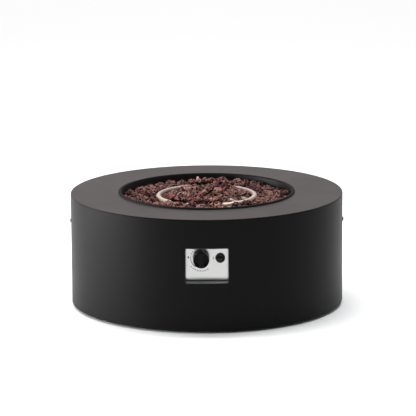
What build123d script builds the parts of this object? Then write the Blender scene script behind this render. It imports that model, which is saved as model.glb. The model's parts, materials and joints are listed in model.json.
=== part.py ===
from build123d import *
import math
import os
import random

# A round propane fire pit with a recessed control panel, in millimetres.
# z = 0 is the ground, +Z is up, the controls face -Y and the drum's axis is the Z axis.

# Drum and top plate
drum_diameter = 813.0
drum_height = 330.0
wall_sheet = 1.5
upper_flange = 26.0
lower_flange = 58.0
lower_bend = 3.0
upper_bend = 1.2
top_sheet = 2.0
edge_round = 1.6
opening_share = 0.6347
hem_depth = 16.0
hem_bend = 2.5

# Feet under the drum's lower flange, set in so that they hide under the drum
foot_height = 6.0
foot_inset = 42.0
foot_diameter = 24.0
foot_count = 6
foot_edge = 1.2
foot_seat = 3.6
foot_thread = 5.0
foot_screw_flats = 8.0
foot_screw_head = 2.5
foot_screw_reach = 7.0
foot_nut = 4.0

# Notch for the supply hose, at the back of the lower edge
notch_width = 36.0
notch_height = 44.0
trim_lip = 4.0
trim_edge = 2.0
trim_proud = 1.5

# Fire bowl, hung in the opening by its rolled rim
bowl_sheet = 1.5
bowl_depth = 70.0
bowl_fit = 2.0
bowl_taper = 8.0
bowl_corner = 18.0
rim_overlap = 6.0
rim_rise = 4.5
rim_bend = 2.6
drain_count = 6
drain_diameter = 8.0
drain_inset = 29.0

# Ring burner
ring_diameter = 303.0
ring_drop = 15.0
tube_diameter = 16.0
tube_wall = 1.2
port_count = 36
port_diameter = 2.6
port_tilt = 40.0
cross_angle = 75.0
cross_ports = 5
hub_diameter = 32.0
hub_drop = 26.0
riser_diameter = 21.3
riser_wall = 2.6
riser_nut_flats = 32.0
riser_nut_height = 9.0

# Air mixer and jet under the bowl
mixer_length = 70.0
mixer_socket = 15.0
mixer_wall = 4.0
mixer_throat = 12.0
mixer_base = 4.0
air_slot_count = 4
air_slot_width = 7.0
air_slot_height = 16.0
jet_flats = 17.0
jet_height = 24.0
jet_spigot = 8.0
jet_reach = 26.0
gas_tube_diameter = 8.0
gas_tube_bend = 26.0
gas_tube_run = 57.0
flare_nut_flats = 16.0
flare_nut_length = 13.0

# Rail that carries the bowl and the burner, and its bolts through the drum
rail_width = 50.0
rail_depth = 24.0
rail_sheet = 2.5
rail_bend = 3.0
bolt_drop = 86.0
bolt_thread = 8.0
bolt_head_diameter = 13.5
bolt_head_height = 4.2
bolt_crown = 3.0
bolt_nut_flats = 13.0
bolt_nut_height = 6.5

# Heat shield under the rail
shield_room = 31.0
shield_sheet = 1.2
shield_lip = 10.0
shield_drop = 40.0
shield_hole = 56.0
standoff_diameter = 10.0
standoff_share = 0.75
standoff_across = 13.0
small_thread = 4.0
small_head_diameter = 7.6
small_head_height = 2.2
small_head_round = 0.9

# Hood over the igniter and the flame sensor, inside the ring
hood_x = 91.0
hood_y = -45.0
hood_turn = 27.0
hood_length = 57.0
hood_width = 30.0
hood_drop = 12.0
hood_sheet = 1.2
hood_bend = 2.0
hood_foot = 11.0
hood_screw_shift = -10.0
hood_slot_count = 3
hood_slot_width = 4.0
bracket_drop = 34.0
bracket_width = 22.0
sensor_spacing = 20.0
electrode_diameter = 7.0
electrode_rod_diameter = 2.0
thermocouple_diameter = 6.0
thermocouple_tip = 1.8
sensor_collar = 10.0
sensor_collar_height = 3.0
lead_hole = 34.0
sensor_tail = 8.0

# Control recess in the front of the drum
recess_width = 123.0
recess_height = 101.0
recess_sill = 143.5
recess_depth = 35.0
recess_corner = 4.0
box_sheet = 1.2
box_back = 26.0
panel_sheet = 1.2
panel_gap = 3.0
panel_corner = 5.0
panel_flange = 20.0
panel_screw_spacing = 60.0
control_height = 211.0
knob_x = -16.6
igniter_x = 38.3

# Control knob and valve stem
knob_diameter = 48.0
knob_length = 31.0
knob_gap = 7.0
knob_draft = 1.0
knob_round = 2.5
knob_rim = 3.0
knob_shell = 2.6
knob_hollow = 7.0
knob_boss = 15.0
grip_width = 14.5
scoop_depth = 13.0
stem_diameter = 8.0
stem_flat = 2.6
stem_grip = 15.0
shoulder_diameter = 13.0
shoulder_length = 3.0

# Gas valve behind the panel
valve_plate_width = 22.0
valve_plate_height = 46.0
valve_plate = 4.0
valve_plate_corner = 5.5
valve_screw_spacing = 34.0
bonnet_diameter = 24.0
guide_length = 6.0
chamber_diameter = 17.0
collar_diameter = 15.0
collar_length = 2.0
plunger_diameter = 6.0
plunger_length = 22.0
stem_spring_length = 12.0
stem_spring_mean = 11.5
stem_spring_wire = 1.0
stem_spring_turns = 5
push_travel = 3.5
plunger_gap = 1.0
valve_width = 32.0
valve_height = 38.0
valve_depth = 38.0
valve_corner = 4.0
magnet_diameter = 20.0
magnet_length = 24.0
outlet_diameter = 16.0
outlet_length = 9.0
inlet_flats = 19.0
inlet_hex = 9.0
inlet_thread = 15.88
inlet_length = 12.0
inlet_nose = 5.0
inlet_nose_step = 1.0
inlet_nose_taper = 3.5
inlet_bore = 4.0

# Push igniter beside the knob
igniter_flange_diameter = 28.0
igniter_flange = 2.0
igniter_body_diameter = 22.0
igniter_tail = 3.0
igniter_nut_flats = 28.0
igniter_nut_height = 6.0
cap_diameter = 26.0
cap_lip = 2.5
cap_round = 1.5
cap_bore = 21.6
button_diameter = 18.4
button_proud = 5.0
button_crown = 2.6
button_flange_diameter = 20.8
button_flange = 2.0
button_travel = 4.0
button_spring_length = 12.0
button_spring_mean = 9.0
button_spring_wire = 0.9
button_spring_turns = 4
battery_diameter = 14.5
battery_length = 49.0
battery_tip_diameter = 5.5
battery_tip = 1.5
terminal_diameter = 8.0
terminal_length = 7.0
igniter_lead_diameter = 5.0
thermocouple_lead_diameter = 3.0
lead_bend = 26.0
lead_run = 52.0
lead_drop = 35.0
lead_sag = 10.0

# Lava rock: each rock's levels are shares of its width and of its height
bed_drop = 30.0
rock_least = 19.0
rock_most = 31.0
rock_low = 14.0
rock_high = 28.0
heap_rise = 18.0
boulder_x = 50.0
boulder_y = 60.0
boulder_width = 42.0
boulder_height = 38.0
mound_start = 222.0
mound_stop = 288.0
mound_reach = 58.0
mound_low = 28.0
mound_high = 30.6
rock_gap = 0.8
wall_lean = 3.0
rock_seat = 0.1
rock_roughness = 0.22
rock_levels = ((0.72, 0), (1, 0.42), (0.86, 0.74), (0.42, 1))
rock_tries = 5000
rock_seed = 11
perched_least = 14.0
perched_most = 19.0
perched_pitch = 21.0
perched_foot = 1.7
rock_corners = 12
perched_spans = ((58.0, 114.0), (226.0, 286.0))

# Clearances: thread or press seat, running fit, parts that stay just apart, bolt holes
thread_fit = 0.1
run_fit = 0.08
loose_fit = 0.3
hole_fit = 0.4
slide_fit = 0.25

# Levels and radii that follow from the sizes above
drum_radius = drum_diameter / 2
drum_inner = drum_radius - wall_sheet
base_z = foot_height
top_z = base_z + drum_height
plate_low_z = top_z - top_sheet
foot_circle = drum_radius - foot_inset
opening_radius = opening_share * drum_radius
bowl_wall_top = opening_radius - bowl_fit - bowl_sheet / 2
bowl_wall_low = bowl_wall_top - bowl_taper
drain_circle = bowl_wall_low - bowl_corner - drain_inset
floor_z = top_z - bowl_depth
floor_under_z = floor_z - bowl_sheet
tube_radius = tube_diameter / 2
ring_radius = ring_diameter / 2 - tube_radius
ring_z = top_z - ring_drop
riser_radius = riser_diameter / 2
rail_web_z = floor_under_z - rail_sheet
rail_low_z = floor_under_z - rail_depth
riser_low_z = rail_web_z - riser_nut_height - mixer_socket - loose_fit
mixer_top_z = riser_low_z + mixer_socket
mixer_low_z = mixer_top_z - mixer_length
jet_z = mixer_low_z - jet_height + jet_flats / 2
bolt_z = top_z - bolt_drop
rail_half = math.sqrt(drum_inner**2 - (rail_width / 2) ** 2) - loose_fit
shield_z = rail_web_z - shield_drop
roof_z = top_z - hood_drop
bracket_z = roof_z - bracket_drop
recess_low_z = base_z + recess_sill
recess_mid_z = recess_low_z + recess_height / 2
panel_front_y = -drum_radius + recess_depth
panel_back_y = panel_front_y + panel_sheet
control_z = base_z + control_height
bonnet_length = guide_length + shoulder_length + collar_length + stem_spring_length + 2 * plunger_gap
valve_mid = bonnet_length + valve_depth / 2
valve_length = bonnet_length + valve_depth + magnet_length
shield_radius = -panel_back_y - valve_length - lead_run - shield_room
standoff_along = standoff_share * shield_radius
bed_z = top_z - bed_drop
cap_length = cap_lip + button_flange + button_travel + 2 * loose_fit


def post(radius, low, high):
    """A round bar on the local Z axis."""
    return Pos(0, 0, low) * Cylinder(radius, high - low, align=(Align.CENTER, Align.CENTER, Align.MIN))


def rod(radius, start, end):
    """A round bar between two points."""
    along = Vector(end) - Vector(start)
    return extrude(Plane(Vector(start), z_dir=along) * Circle(radius), along.length)


def hexagon(flats, low, high):
    """A hexagonal bar on the local Z axis."""
    return Pos(0, 0, low) * extrude(RegularPolygon(flats / 2, 6, major_radius=False), high - low)


def block(width, depth, low, high):
    """A rectangular block on the local Z axis."""
    return Pos(0, 0, low) * Box(width, depth, high - low, align=(Align.CENTER, Align.CENTER, Align.MIN))


def turned(profile):
    """A profile of radius and height, turned about the Z axis."""
    return revolve(Plane.XZ * profile, Axis.Z)


def domed(radius, low, high, crown):
    """A round bar on the local Z axis whose upper end is a shallow dome."""
    ball = (radius**2 + crown**2) / (2 * crown)
    return post(radius, low, high) & Pos(0, 0, high - ball) * Sphere(ball)


def small_screw(length):
    """A pan-head screw: its head stands on z = 0 and its thread runs down."""
    head = post(small_head_diameter / 2, 0, small_head_height)
    head = fillet(head.edges().sort_by(Axis.Z)[-1], small_head_round)
    return head + post(small_thread / 2, -length, 0)


def facing(x):
    """The frame of a control: z comes out of the panel's back face to the front, and y is up."""
    return Plane((x, panel_back_y, control_z), x_dir=(1, 0, 0), z_dir=(0, -1, 0))


def hood_frame(z):
    """The frame of the hood: x runs along its front edge."""
    return Plane((hood_x, hood_y, z), x_dir=Vector(1, 0, 0).rotate(Axis.Z, hood_turn), z_dir=(0, 0, 1))


def d_section(radius, flat):
    """A circle with one flat, at this height above its centre."""
    return Circle(radius) & Pos(0, (flat - radius) / 2) * Rectangle(2 * radius, flat + radius)


def biarc(start, leave, end, arrive):
    """Two arcs that join two points and meet both directions."""
    across = end - start
    lean = leave + arrive
    spread = 2 * (1 - leave.dot(arrive))
    reach = across.dot(lean)
    step = (math.sqrt(reach**2 + spread * across.dot(across)) - reach) / spread
    middle = (start + end + (leave - arrive) * step) / 2
    first = TangentArc(start, middle, tangent=leave)
    return [first, TangentArc(middle, end, tangent=first % 1)]


def coil(name, mean_diameter, wire, low, high, turns):
    """A compression spring: one wire on biarcs of a quarter turn."""
    steps = 4 * turns
    rise = (high - low - wire) / steps
    turn = [Vector(mean_diameter / 2, 0, 0).rotate(Axis.Z, 90 * i) for i in range(steps + 1)]
    points = [turn[i] + Vector(0, 0, low + wire / 2 + rise * i) for i in range(steps + 1)]
    quarter = math.pi / 4 * mean_diameter
    ways = [(turn[i].rotate(Axis.Z, 90).normalized() * quarter + Vector(0, 0, rise)).normalized()
            for i in range(steps + 1)]
    arcs = []
    for i in range(steps):
        arcs += biarc(points[i], ways[i], points[i + 1], ways[i + 1])
    path = Wire(arcs)
    gap = min((points[i] - points[j]).length for i in range(steps + 1) for j in range(i - 1)) - wire
    print(f"{name}: least gap between turns {gap:.2f} mm")
    return sweep(Plane(path @ 0, z_dir=path % 0) * Circle(wire / 2), path=path)


def bent_tube(radius, points, bends):
    """A round tube or lead on straight runs joined by tangent arcs."""
    path = FilletPolyline(*points, radius=bends)
    return sweep(Plane(path @ 0, z_dir=path % 0) * Circle(radius), path=path)


def make_notch(grow, low):
    """The outline of the hose notch on the XZ plane, grown by a margin."""
    half = notch_width / 2 + grow
    middle = base_z + notch_height - notch_width / 2
    return Pos(0, middle) * Circle(half) + Pos(0, (middle + low) / 2) * Rectangle(2 * half, middle - low)


def make_drum_shell():
    """Rolled side wall with in-turned flanges, the control window and the hose notch."""
    middle = drum_radius - wall_sheet / 2
    low = base_z + wall_sheet / 2
    high = plate_low_z - wall_sheet / 2
    points = ((drum_radius - lower_flange, low), (middle, low), (middle, high),
              (drum_radius - upper_flange, high))
    shell = turned(trace(FilletPolyline(*points, radius=[lower_bend, upper_bend]), wall_sheet))
    margin = box_sheet + loose_fit
    window = RectangleRounded(recess_width + 2 * margin, recess_height + 2 * margin, recess_corner + margin)
    front = Plane.XZ.offset(drum_radius + margin)
    shell -= extrude(front * Pos(0, recess_mid_z) * window, -(recess_depth + margin))
    back = Plane.XZ.offset(-drum_radius - margin)
    shell -= extrude(back * make_notch(0, 0), lower_flange + 2 * margin)
    bolt_hole = (bolt_thread + hole_fit) / 2
    shell -= rod(bolt_hole, (-drum_radius - margin, 0, bolt_z), (drum_radius + margin, 0, bolt_z))
    hole = post((foot_thread + hole_fit) / 2, base_z - margin, base_z + wall_sheet + margin)
    for place in PolarLocations(foot_circle, foot_count):
        shell -= place * hole
    return shell


def make_top_ring():
    """Flat top plate with a softened outer edge and a hem turned down at the opening."""
    middle = top_z - top_sheet / 2
    hem = opening_radius + top_sheet / 2
    path = FilletPolyline((drum_radius, middle), (hem, middle), (hem, top_z - hem_depth), radius=hem_bend)
    ring = turned(trace(path, top_sheet))
    outer = ring.edges().filter_by(GeomType.CIRCLE).group_by(SortBy.RADIUS)[-1]
    return fillet(outer.sort_by(Axis.Z)[-1], min(edge_round, 0.9 * top_sheet))


def make_hose_trim():
    """Rubber edging that grips the wall round the hose notch."""
    inner = make_notch(-trim_edge, 0)
    outer = make_notch(trim_lip, base_z + wall_sheet + lower_bend)
    back = Plane.XZ.offset(-drum_radius - trim_proud)
    band = extrude(back * (outer - inner), wall_sheet + 2 * trim_proud)
    return band - drum_shell


def make_feet():
    """Round rubber feet, each with a recess for its screw's head."""
    foot = post(foot_diameter / 2, 0, foot_height)
    foot = fillet(foot.edges().sort_by(Axis.Z)[0], foot_edge)
    foot -= post(foot_screw_flats / math.sqrt(3) + loose_fit, 0, foot_seat)
    foot -= post((foot_thread + hole_fit) / 2, 0, foot_height)
    return Compound([place * foot for place in PolarLocations(foot_circle, foot_count)])


def make_foot_screws():
    """Screws up through the feet and the flange."""
    head = hexagon(foot_screw_flats, foot_seat - foot_screw_head, foot_seat)
    screw = head + post(foot_thread / 2, foot_seat, base_z + wall_sheet + foot_screw_reach)
    return Compound([place * screw for place in PolarLocations(foot_circle, foot_count)])


def make_foot_nuts():
    """Nuts on the foot screws, on top of the flange."""
    low = base_z + wall_sheet
    nut = hexagon(foot_screw_flats, low, low + foot_nut)
    nut -= post(foot_thread / 2 + thread_fit, low, low + foot_nut)
    return Compound([place * nut for place in PolarLocations(foot_circle, foot_count)])


def make_fire_bowl():
    """Drop-in pan: a rolled rim on the top plate, a tapered wall, and a floor with its holes."""
    crest = top_z + rim_rise - bowl_sheet / 2
    edge = opening_radius + rim_overlap - bowl_sheet / 2
    middle = floor_z - bowl_sheet / 2
    mouth = riser_radius + hole_fit
    points = ((edge, top_z), (edge, crest), (bowl_wall_top, crest), (bowl_wall_low, middle), (mouth, middle))
    bowl = turned(trace(FilletPolyline(*points, radius=[rim_bend, rim_bend, bowl_corner]), bowl_sheet))
    low = floor_under_z - loose_fit
    high = floor_z + loose_fit
    for place in PolarLocations(drain_circle, drain_count, start_angle=360 / drain_count / 2):
        bowl -= place * post(drain_diameter / 2, low, high)
    floor = hood_frame(0)
    bowl -= floor * post(lead_hole / 2, low, high)
    for side in (-1, 1):
        place = Pos(side * (hood_length + hood_foot) / 2, hood_screw_shift, 0)
        bowl -= floor * place * post((small_thread + hole_fit) / 2, low, high)
    return bowl


def make_burner_ring():
    """Round tube burner with its cross tube, hub and gas ports, hollow all through."""
    across = Vector(ring_radius, 0, 0).rotate(Axis.Z, cross_angle)
    level = Vector(0, 0, ring_z)
    bore = tube_radius - tube_wall
    hub_low = ring_z - hub_drop
    socket_top = ring_z - tube_radius - tube_wall
    ring = Pos(0, 0, ring_z) * Torus(ring_radius, tube_radius)
    ring += rod(tube_radius, level - across, level + across)
    ring += post(hub_diameter / 2, hub_low, ring_z)
    ring -= Pos(0, 0, ring_z) * Torus(ring_radius, bore)
    ring -= rod(bore, level - across, level + across)
    ring -= post(riser_radius + thread_fit, hub_low, socket_top)
    ring -= post(bore, socket_top, ring_z)
    port = Rot(0, -port_tilt, 0) * post(port_diameter / 2, 0, tube_diameter)
    first_port = cross_angle + 180 / port_count
    ports = [place * port for place in PolarLocations(ring_radius, port_count, start_angle=first_port)]
    ports = [Pos(0, 0, ring_z) * hole for hole in ports]
    pitch = (ring_radius - hub_diameter) / cross_ports
    for side in (-1, 1):
        for i in range(cross_ports):
            place = across.normalized() * side * (hub_diameter + pitch * i)
            ports.append(Pos(place.X, place.Y, ring_z) * post(port_diameter / 2, 0, tube_diameter))
    return ring - ports


def make_burner_riser():
    """Pipe that stands the burner on the bowl's floor and feeds it."""
    high = ring_z - tube_radius - tube_wall
    return post(riser_radius, riser_low_z, high) - post(riser_radius - riser_wall, riser_low_z, high)


def make_riser_nuts():
    """Lock nuts on the riser, above the bowl's floor and below the rail."""
    nuts = []
    for low in (floor_z, rail_web_z - riser_nut_height):
        nut = hexagon(riser_nut_flats, low, low + riser_nut_height)
        nuts.append(nut - post(riser_radius + thread_fit, low, low + riser_nut_height))
    return Compound(nuts)


def make_air_mixer():
    """Mixer body: a socket on the riser, a waisted throat, and air slots above the jet."""
    outer = riser_radius + mixer_wall
    waist = mixer_throat / 2 + mixer_wall
    shoulder = mixer_top_z - mixer_socket - mixer_wall
    slot_top = mixer_low_z + mixer_base + air_slot_height + mixer_wall
    body = Polyline((0, mixer_low_z), (outer, mixer_low_z), (outer, slot_top))
    body += Spline((outer, slot_top), (waist, (slot_top + shoulder) / 2), (outer, shoulder),
                   tangents=((0, 1), (0, 1)))
    body += Polyline((outer, shoulder), (outer, mixer_top_z), (0, mixer_top_z), (0, mixer_low_z))
    mixer = turned(make_face(body))
    socket_z = mixer_top_z - mixer_socket
    mixer -= post(riser_radius + thread_fit, socket_z, mixer_top_z)
    mixer -= post(mixer_throat / 2, slot_top, socket_z)
    mixer -= post(outer - mixer_wall, mixer_low_z + mixer_base, slot_top)
    mixer -= post(jet_spigot / 2 + thread_fit, mixer_low_z, mixer_low_z + mixer_base)
    slot = Pos(outer, 0, 0) * block(2 * mixer_wall + outer, air_slot_width,
                                    mixer_low_z + mixer_base + mixer_wall / 2, slot_top - mixer_wall / 2)
    return mixer - [place * slot for place in PolarLocations(0, air_slot_count, start_angle=45)]


def make_gas_jet():
    """Brass jet: a spigot into the mixer, a hexagon, and an elbow towards the valve."""
    low = mixer_low_z - jet_height
    jet = hexagon(jet_flats, low, mixer_low_z)
    jet += post(jet_spigot / 2, mixer_low_z, mixer_low_z + mixer_base + jet_spigot)
    jet += rod(outlet_diameter / 2, (0, 0, jet_z), (0, -jet_reach, jet_z))
    return jet - post(port_diameter / 2, jet_z, mixer_low_z + mixer_base + jet_spigot)


def outlet_point():
    """The middle of the valve outlet's end face."""
    return Vector(knob_x - valve_width / 2 - outlet_length, panel_back_y + valve_mid, control_z)


def make_gas_tube():
    """Metal gas line from the valve's outlet to the jet."""
    start = outlet_point()
    end = Vector(0, -jet_reach, jet_z)
    side = start - Vector(gas_tube_run, 0, 0)
    low = Vector(side.X, end.Y - 2 * gas_tube_run, jet_z + gas_tube_diameter)
    turn = end - Vector(0, gas_tube_run, 0)
    return bent_tube(gas_tube_diameter / 2, (start, side, low, turn, end), gas_tube_bend)


def make_tube_nuts():
    """Flare nuts that hold the gas line at the valve and at the jet."""
    nut = hexagon(flare_nut_flats, 0, flare_nut_length)
    nut -= post(gas_tube_diameter / 2 + thread_fit, 0, flare_nut_length)
    at_valve = Plane(outlet_point(), z_dir=(-1, 0, 0)) * nut
    at_jet = Plane((0, -jet_reach, jet_z), z_dir=(0, -1, 0)) * nut
    return Compound([at_valve, at_jet])


def make_bowl_rail():
    """Channel across the drum under the bowl, with an end plate at each bolt."""
    half = (rail_width - rail_sheet) / 2
    web = floor_under_z - rail_sheet / 2
    points = ((-half, rail_low_z), (-half, web), (half, web), (half, rail_low_z))
    section = trace(FilletPolyline(*points, radius=rail_bend), rail_sheet)
    rail = extrude(Plane.YZ * section, rail_half, both=True)
    for side in (-1, 1):
        plate = Pos(side * (rail_half - rail_sheet / 2), 0, 0)
        rail += plate * block(rail_sheet, rail_width - rail_sheet, rail_low_z, rail_web_z)
    rail -= rod((bolt_thread + hole_fit) / 2, (-drum_radius, 0, bolt_z), (drum_radius, 0, bolt_z))
    return rail - post(riser_radius + hole_fit, rail_low_z, floor_under_z)


def side_frames(x):
    """A frame on each side of the drum at the bolts, facing outwards."""
    return [Plane((side * x, 0, bolt_z), z_dir=(side, 0, 0)) for side in (-1, 1)]


def make_side_bolts():
    """Domed bolts through the drum's sides into the rail's end plates."""
    head = domed(bolt_head_diameter / 2, 0, bolt_head_height, bolt_crown)
    length = drum_radius - rail_half + rail_sheet + bolt_nut_height + bolt_thread / 4
    bolt = head + post(bolt_thread / 2, -length, 0)
    return Compound([frame * bolt for frame in side_frames(drum_radius)])


def make_side_bolt_nuts():
    """Nuts on the side bolts, against the rail's end plates."""
    nut = hexagon(bolt_nut_flats, -bolt_nut_height, 0)
    nut -= post(bolt_thread / 2 + thread_fit, -bolt_nut_height, 0)
    return Compound([frame * nut for frame in side_frames(rail_half - rail_sheet)])


def standoff_places():
    """The four places where the heat shield hangs from the rail."""
    return [(x * standoff_along, y * standoff_across) for x in (-1, 1) for y in (-1, 1)]


def make_heat_shield():
    """Round plate with a turned-down lip that keeps heat off the gas line."""
    edge = shield_radius - shield_sheet / 2
    level = shield_z - shield_sheet / 2
    points = ((shield_hole / 2, level), (edge, level), (edge, shield_z - shield_lip))
    shield = turned(trace(FilletPolyline(*points, radius=rail_bend), shield_sheet))
    shield -= hood_frame(0) * post(lead_hole / 2, shield_z - shield_lip, shield_z + shield_sheet)
    hole = post((small_thread + hole_fit) / 2, shield_z - 2 * shield_sheet, shield_z + shield_sheet)
    return shield - [Pos(x, y) * hole for x, y in standoff_places()]


def make_shield_standoffs():
    """Pillars between the rail's web and the heat shield."""
    pillar = post(standoff_diameter / 2, shield_z, rail_web_z)
    pillar -= post(small_thread / 2 + thread_fit, shield_z, shield_z + 3 * small_thread)
    return Compound([Pos(x, y) * pillar for x, y in standoff_places()])


def make_shield_screws():
    """Screws up through the heat shield into its pillars."""
    screw = Rot(180, 0, 0) * small_screw(shield_sheet + 2 * small_thread)
    return Compound([Pos(x, y, shield_z - shield_sheet) * screw for x, y in standoff_places()])


def make_igniter_hood():
    """Folded guard over the spark and the flame sensor, with slots in its roof."""
    side = (hood_length - hood_sheet) / 2
    toe = hood_length / 2 + hood_foot
    low = floor_z + hood_sheet / 2
    high = roof_z - hood_sheet / 2
    points = ((-toe, low), (-side, low), (-side, high), (side, high), (side, low), (toe, low))
    section = trace(FilletPolyline(*points, radius=hood_bend), hood_sheet)
    hood = extrude(Plane.XZ * section, hood_width / 2, both=True)
    slot = block(hood_slot_width, hood_width / 2, roof_z - 2 * hood_sheet, roof_z + hood_sheet)
    pitch = hood_length / (hood_slot_count + 1)
    for i in range(hood_slot_count):
        hood -= Pos(pitch * (i + 1) - hood_length / 2, 0, 0) * slot
    for end in (-1, 1):
        place = Pos(end * (hood_length + hood_foot) / 2, hood_screw_shift, 0)
        hood -= place * post((small_thread + hole_fit) / 2, floor_z - hood_sheet, floor_z + 2 * hood_sheet)
    return hood_frame(0) * hood


def make_hood_screws():
    """Screws through the hood's feet and the bowl's floor."""
    screw = small_screw(hood_sheet + bowl_sheet + small_thread)
    level = floor_z + hood_sheet
    reach = (hood_length + hood_foot) / 2
    return Compound([hood_frame(level) * Pos(end * reach, hood_screw_shift, 0) * screw for end in (-1, 1)])


def make_sensor_bracket():
    """Shelf between the hood's legs that holds the electrode and the thermocouple."""
    shelf = block(hood_length - 2 * hood_sheet, bracket_width, bracket_z - hood_sheet, bracket_z)
    for side, diameter in ((1, electrode_diameter), (-1, thermocouple_diameter)):
        hole = post(diameter / 2 + thread_fit, bracket_z - hood_sheet, bracket_z)
        shelf -= Pos(side * sensor_spacing / 2, 0, 0) * hole
    return hood_frame(0) * shelf


def sensor(diameter, high):
    """A stem with a collar that stands on the shelf, and a tail below the bowl's floor."""
    stem = post(diameter / 2, floor_under_z - sensor_tail, high)
    return stem + post(sensor_collar / 2, bracket_z, bracket_z + sensor_collar_height)


def make_electrode():
    """Ceramic insulator of the spark electrode."""
    high = roof_z - bracket_drop / 2
    stem = sensor(electrode_diameter, high)
    stem -= post(electrode_rod_diameter / 2 + thread_fit, floor_under_z - sensor_tail, high)
    return hood_frame(0) * Pos(sensor_spacing / 2, 0, 0) * stem


def make_electrode_rod():
    """Steel core of the electrode, bare at its tip."""
    core = post(electrode_rod_diameter / 2, floor_under_z - sensor_tail, roof_z - bracket_drop / 4)
    return hood_frame(0) * Pos(sensor_spacing / 2, 0, 0) * core


def make_thermocouple():
    """Flame sensor with a rounded tip."""
    high = roof_z - bracket_drop / 4
    stem = sensor(thermocouple_diameter, high)
    stem = fillet(stem.edges().sort_by(Axis.Z)[-1], thermocouple_tip)
    return hood_frame(0) * Pos(-sensor_spacing / 2, 0, 0) * stem


def lead_start(side):
    """The lower end of a sensor's tail."""
    return hood_frame(floor_under_z - sensor_tail).from_local_coords(Vector(side * sensor_spacing / 2, 0, 0))


def lead_route(side, x, back_y):
    """A lead's points: down past the heat shield, forward, and into the back of a control."""
    start = lead_start(side)
    end = Vector(x, back_y, control_z)
    level = end + Vector(0, lead_run, 0)
    drop = Vector(start.X, start.Y, shield_z - lead_drop)
    middle = Vector((start.X + x) / 2 + side * sensor_spacing, (start.Y + level.Y) / 2, drop.Z - lead_sag)
    return (start, drop, middle, level, end)


def make_igniter_lead():
    """Insulated spark lead from the igniter to the electrode."""
    back_y = panel_front_y + igniter_length() + terminal_length
    return bent_tube(igniter_lead_diameter / 2, lead_route(1, igniter_x, back_y), lead_bend)


def make_thermocouple_lead():
    """Thin metal lead from the flame sensor to the valve's magnet."""
    back_y = panel_back_y + valve_length
    return bent_tube(thermocouple_lead_diameter / 2, lead_route(-1, knob_x, back_y), lead_bend)


def make_control_box():
    """Folded recess behind the window, its front edge flush with the drum."""
    skin = 2 * box_sheet
    outer = RectangleRounded(recess_width + skin, recess_height + skin, recess_corner + box_sheet)
    inner = RectangleRounded(recess_width, recess_height, recess_corner)
    front = Plane.XZ.offset(drum_radius + box_sheet)
    length = recess_depth + box_back + box_sheet
    box = extrude(front * Pos(0, recess_mid_z) * (outer - inner), -length)
    box &= post(drum_radius, recess_low_z - recess_height, recess_low_z + 2 * recess_height)
    for frame in panel_screw_frames(0):
        box -= frame * post((small_thread + hole_fit) / 2, -2 * box_sheet, 2 * box_sheet)
    return box


def panel_screw_frames(out):
    """Frames on the box's sides at the panel's screws, facing outwards."""
    y = panel_back_y + panel_flange / 2
    x = recess_width / 2 + out
    return [
        Plane((side * x, y, recess_mid_z + end * panel_screw_spacing / 2), z_dir=(side, 0, 0))
        for side in (-1, 1)
        for end in (-1, 1)
    ]


def make_control_panel():
    """Bright front plate with its side flanges folded back and holes for the controls."""
    half = recess_width / 2 - loose_fit
    low = recess_low_z + panel_gap
    high = recess_low_z + recess_height - loose_fit
    face = Pos(0, (low + high) / 2) * Rectangle(2 * half, high - low)
    face = fillet(face.vertices(), panel_corner)
    plate = extrude(Plane.XZ.offset(-panel_front_y) * face, -panel_sheet)
    tall = panel_screw_spacing + 4 * small_thread
    for side in (-1, 1):
        wing = block(panel_sheet, panel_flange, recess_mid_z - tall / 2, recess_mid_z + tall / 2)
        plate += Pos(side * (half - panel_sheet / 2), panel_front_y + panel_flange / 2, 0) * wing
    for frame in panel_screw_frames(0):
        plate -= frame * post((small_thread + hole_fit) / 2, -4 * panel_sheet, 2 * panel_sheet)
    plate -= facing(knob_x) * post(stem_diameter / 2 + 2 * hole_fit, -panel_sheet, 2 * panel_sheet)
    for end in (-1, 1):
        hole = post((small_thread + hole_fit) / 2, -panel_sheet, 2 * panel_sheet)
        plate -= facing(knob_x) * Pos(0, end * valve_screw_spacing / 2, 0) * hole
    hole = post(igniter_body_diameter / 2 + loose_fit, -panel_sheet, 2 * panel_sheet)
    return plate - facing(igniter_x) * hole


def make_panel_screws():
    """Screws through the box's sides into the panel's flanges."""
    screw = small_screw(box_sheet + loose_fit + panel_sheet + small_thread)
    return Compound([frame * screw for frame in panel_screw_frames(box_sheet)])


def make_gas_valve():
    """Brass valve body: plate, bonnet, block, magnet housing and outlet, bored for stem and plunger."""
    plate = RectangleRounded(valve_plate_width, valve_plate_height, valve_plate_corner)
    valve = extrude(plate, -valve_plate)
    valve += post(bonnet_diameter / 2, -bonnet_length, 0)
    body = block(valve_width, valve_height, -bonnet_length - valve_depth, -bonnet_length)
    valve += fillet(body.edges().filter_by(Axis.Z), valve_corner)
    valve += post(magnet_diameter / 2, -valve_length, -bonnet_length)
    middle = Vector(0, 0, -valve_mid)
    valve += rod(outlet_diameter / 2, middle, middle - Vector(valve_width / 2 + outlet_length, 0, 0))
    valve -= post(stem_diameter / 2 + run_fit, -guide_length, 0)
    valve -= post(chamber_diameter / 2, -bonnet_length, -guide_length)
    bore = plunger_length + push_travel + 2 * loose_fit
    valve -= post(plunger_diameter / 2 + run_fit, -collar_back() - bore, -bonnet_length)
    for end in (-1, 1):
        hole = post(small_thread / 2 + thread_fit, -valve_plate, 0)
        valve -= Pos(0, end * valve_screw_spacing / 2, 0) * hole
    return facing(knob_x) * valve


def collar_back():
    """How far the plunger collar's back face lies behind the panel."""
    return guide_length + shoulder_length + collar_length + 2 * run_fit


def make_valve_screws():
    """Screws through the panel into the valve's plate, under the knob."""
    screw = Pos(0, 0, panel_sheet) * small_screw(panel_sheet + valve_plate + small_thread / 2)
    return Compound([facing(knob_x) * Pos(0, end * valve_screw_spacing / 2, 0) * screw for end in (-1, 1)])


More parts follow.
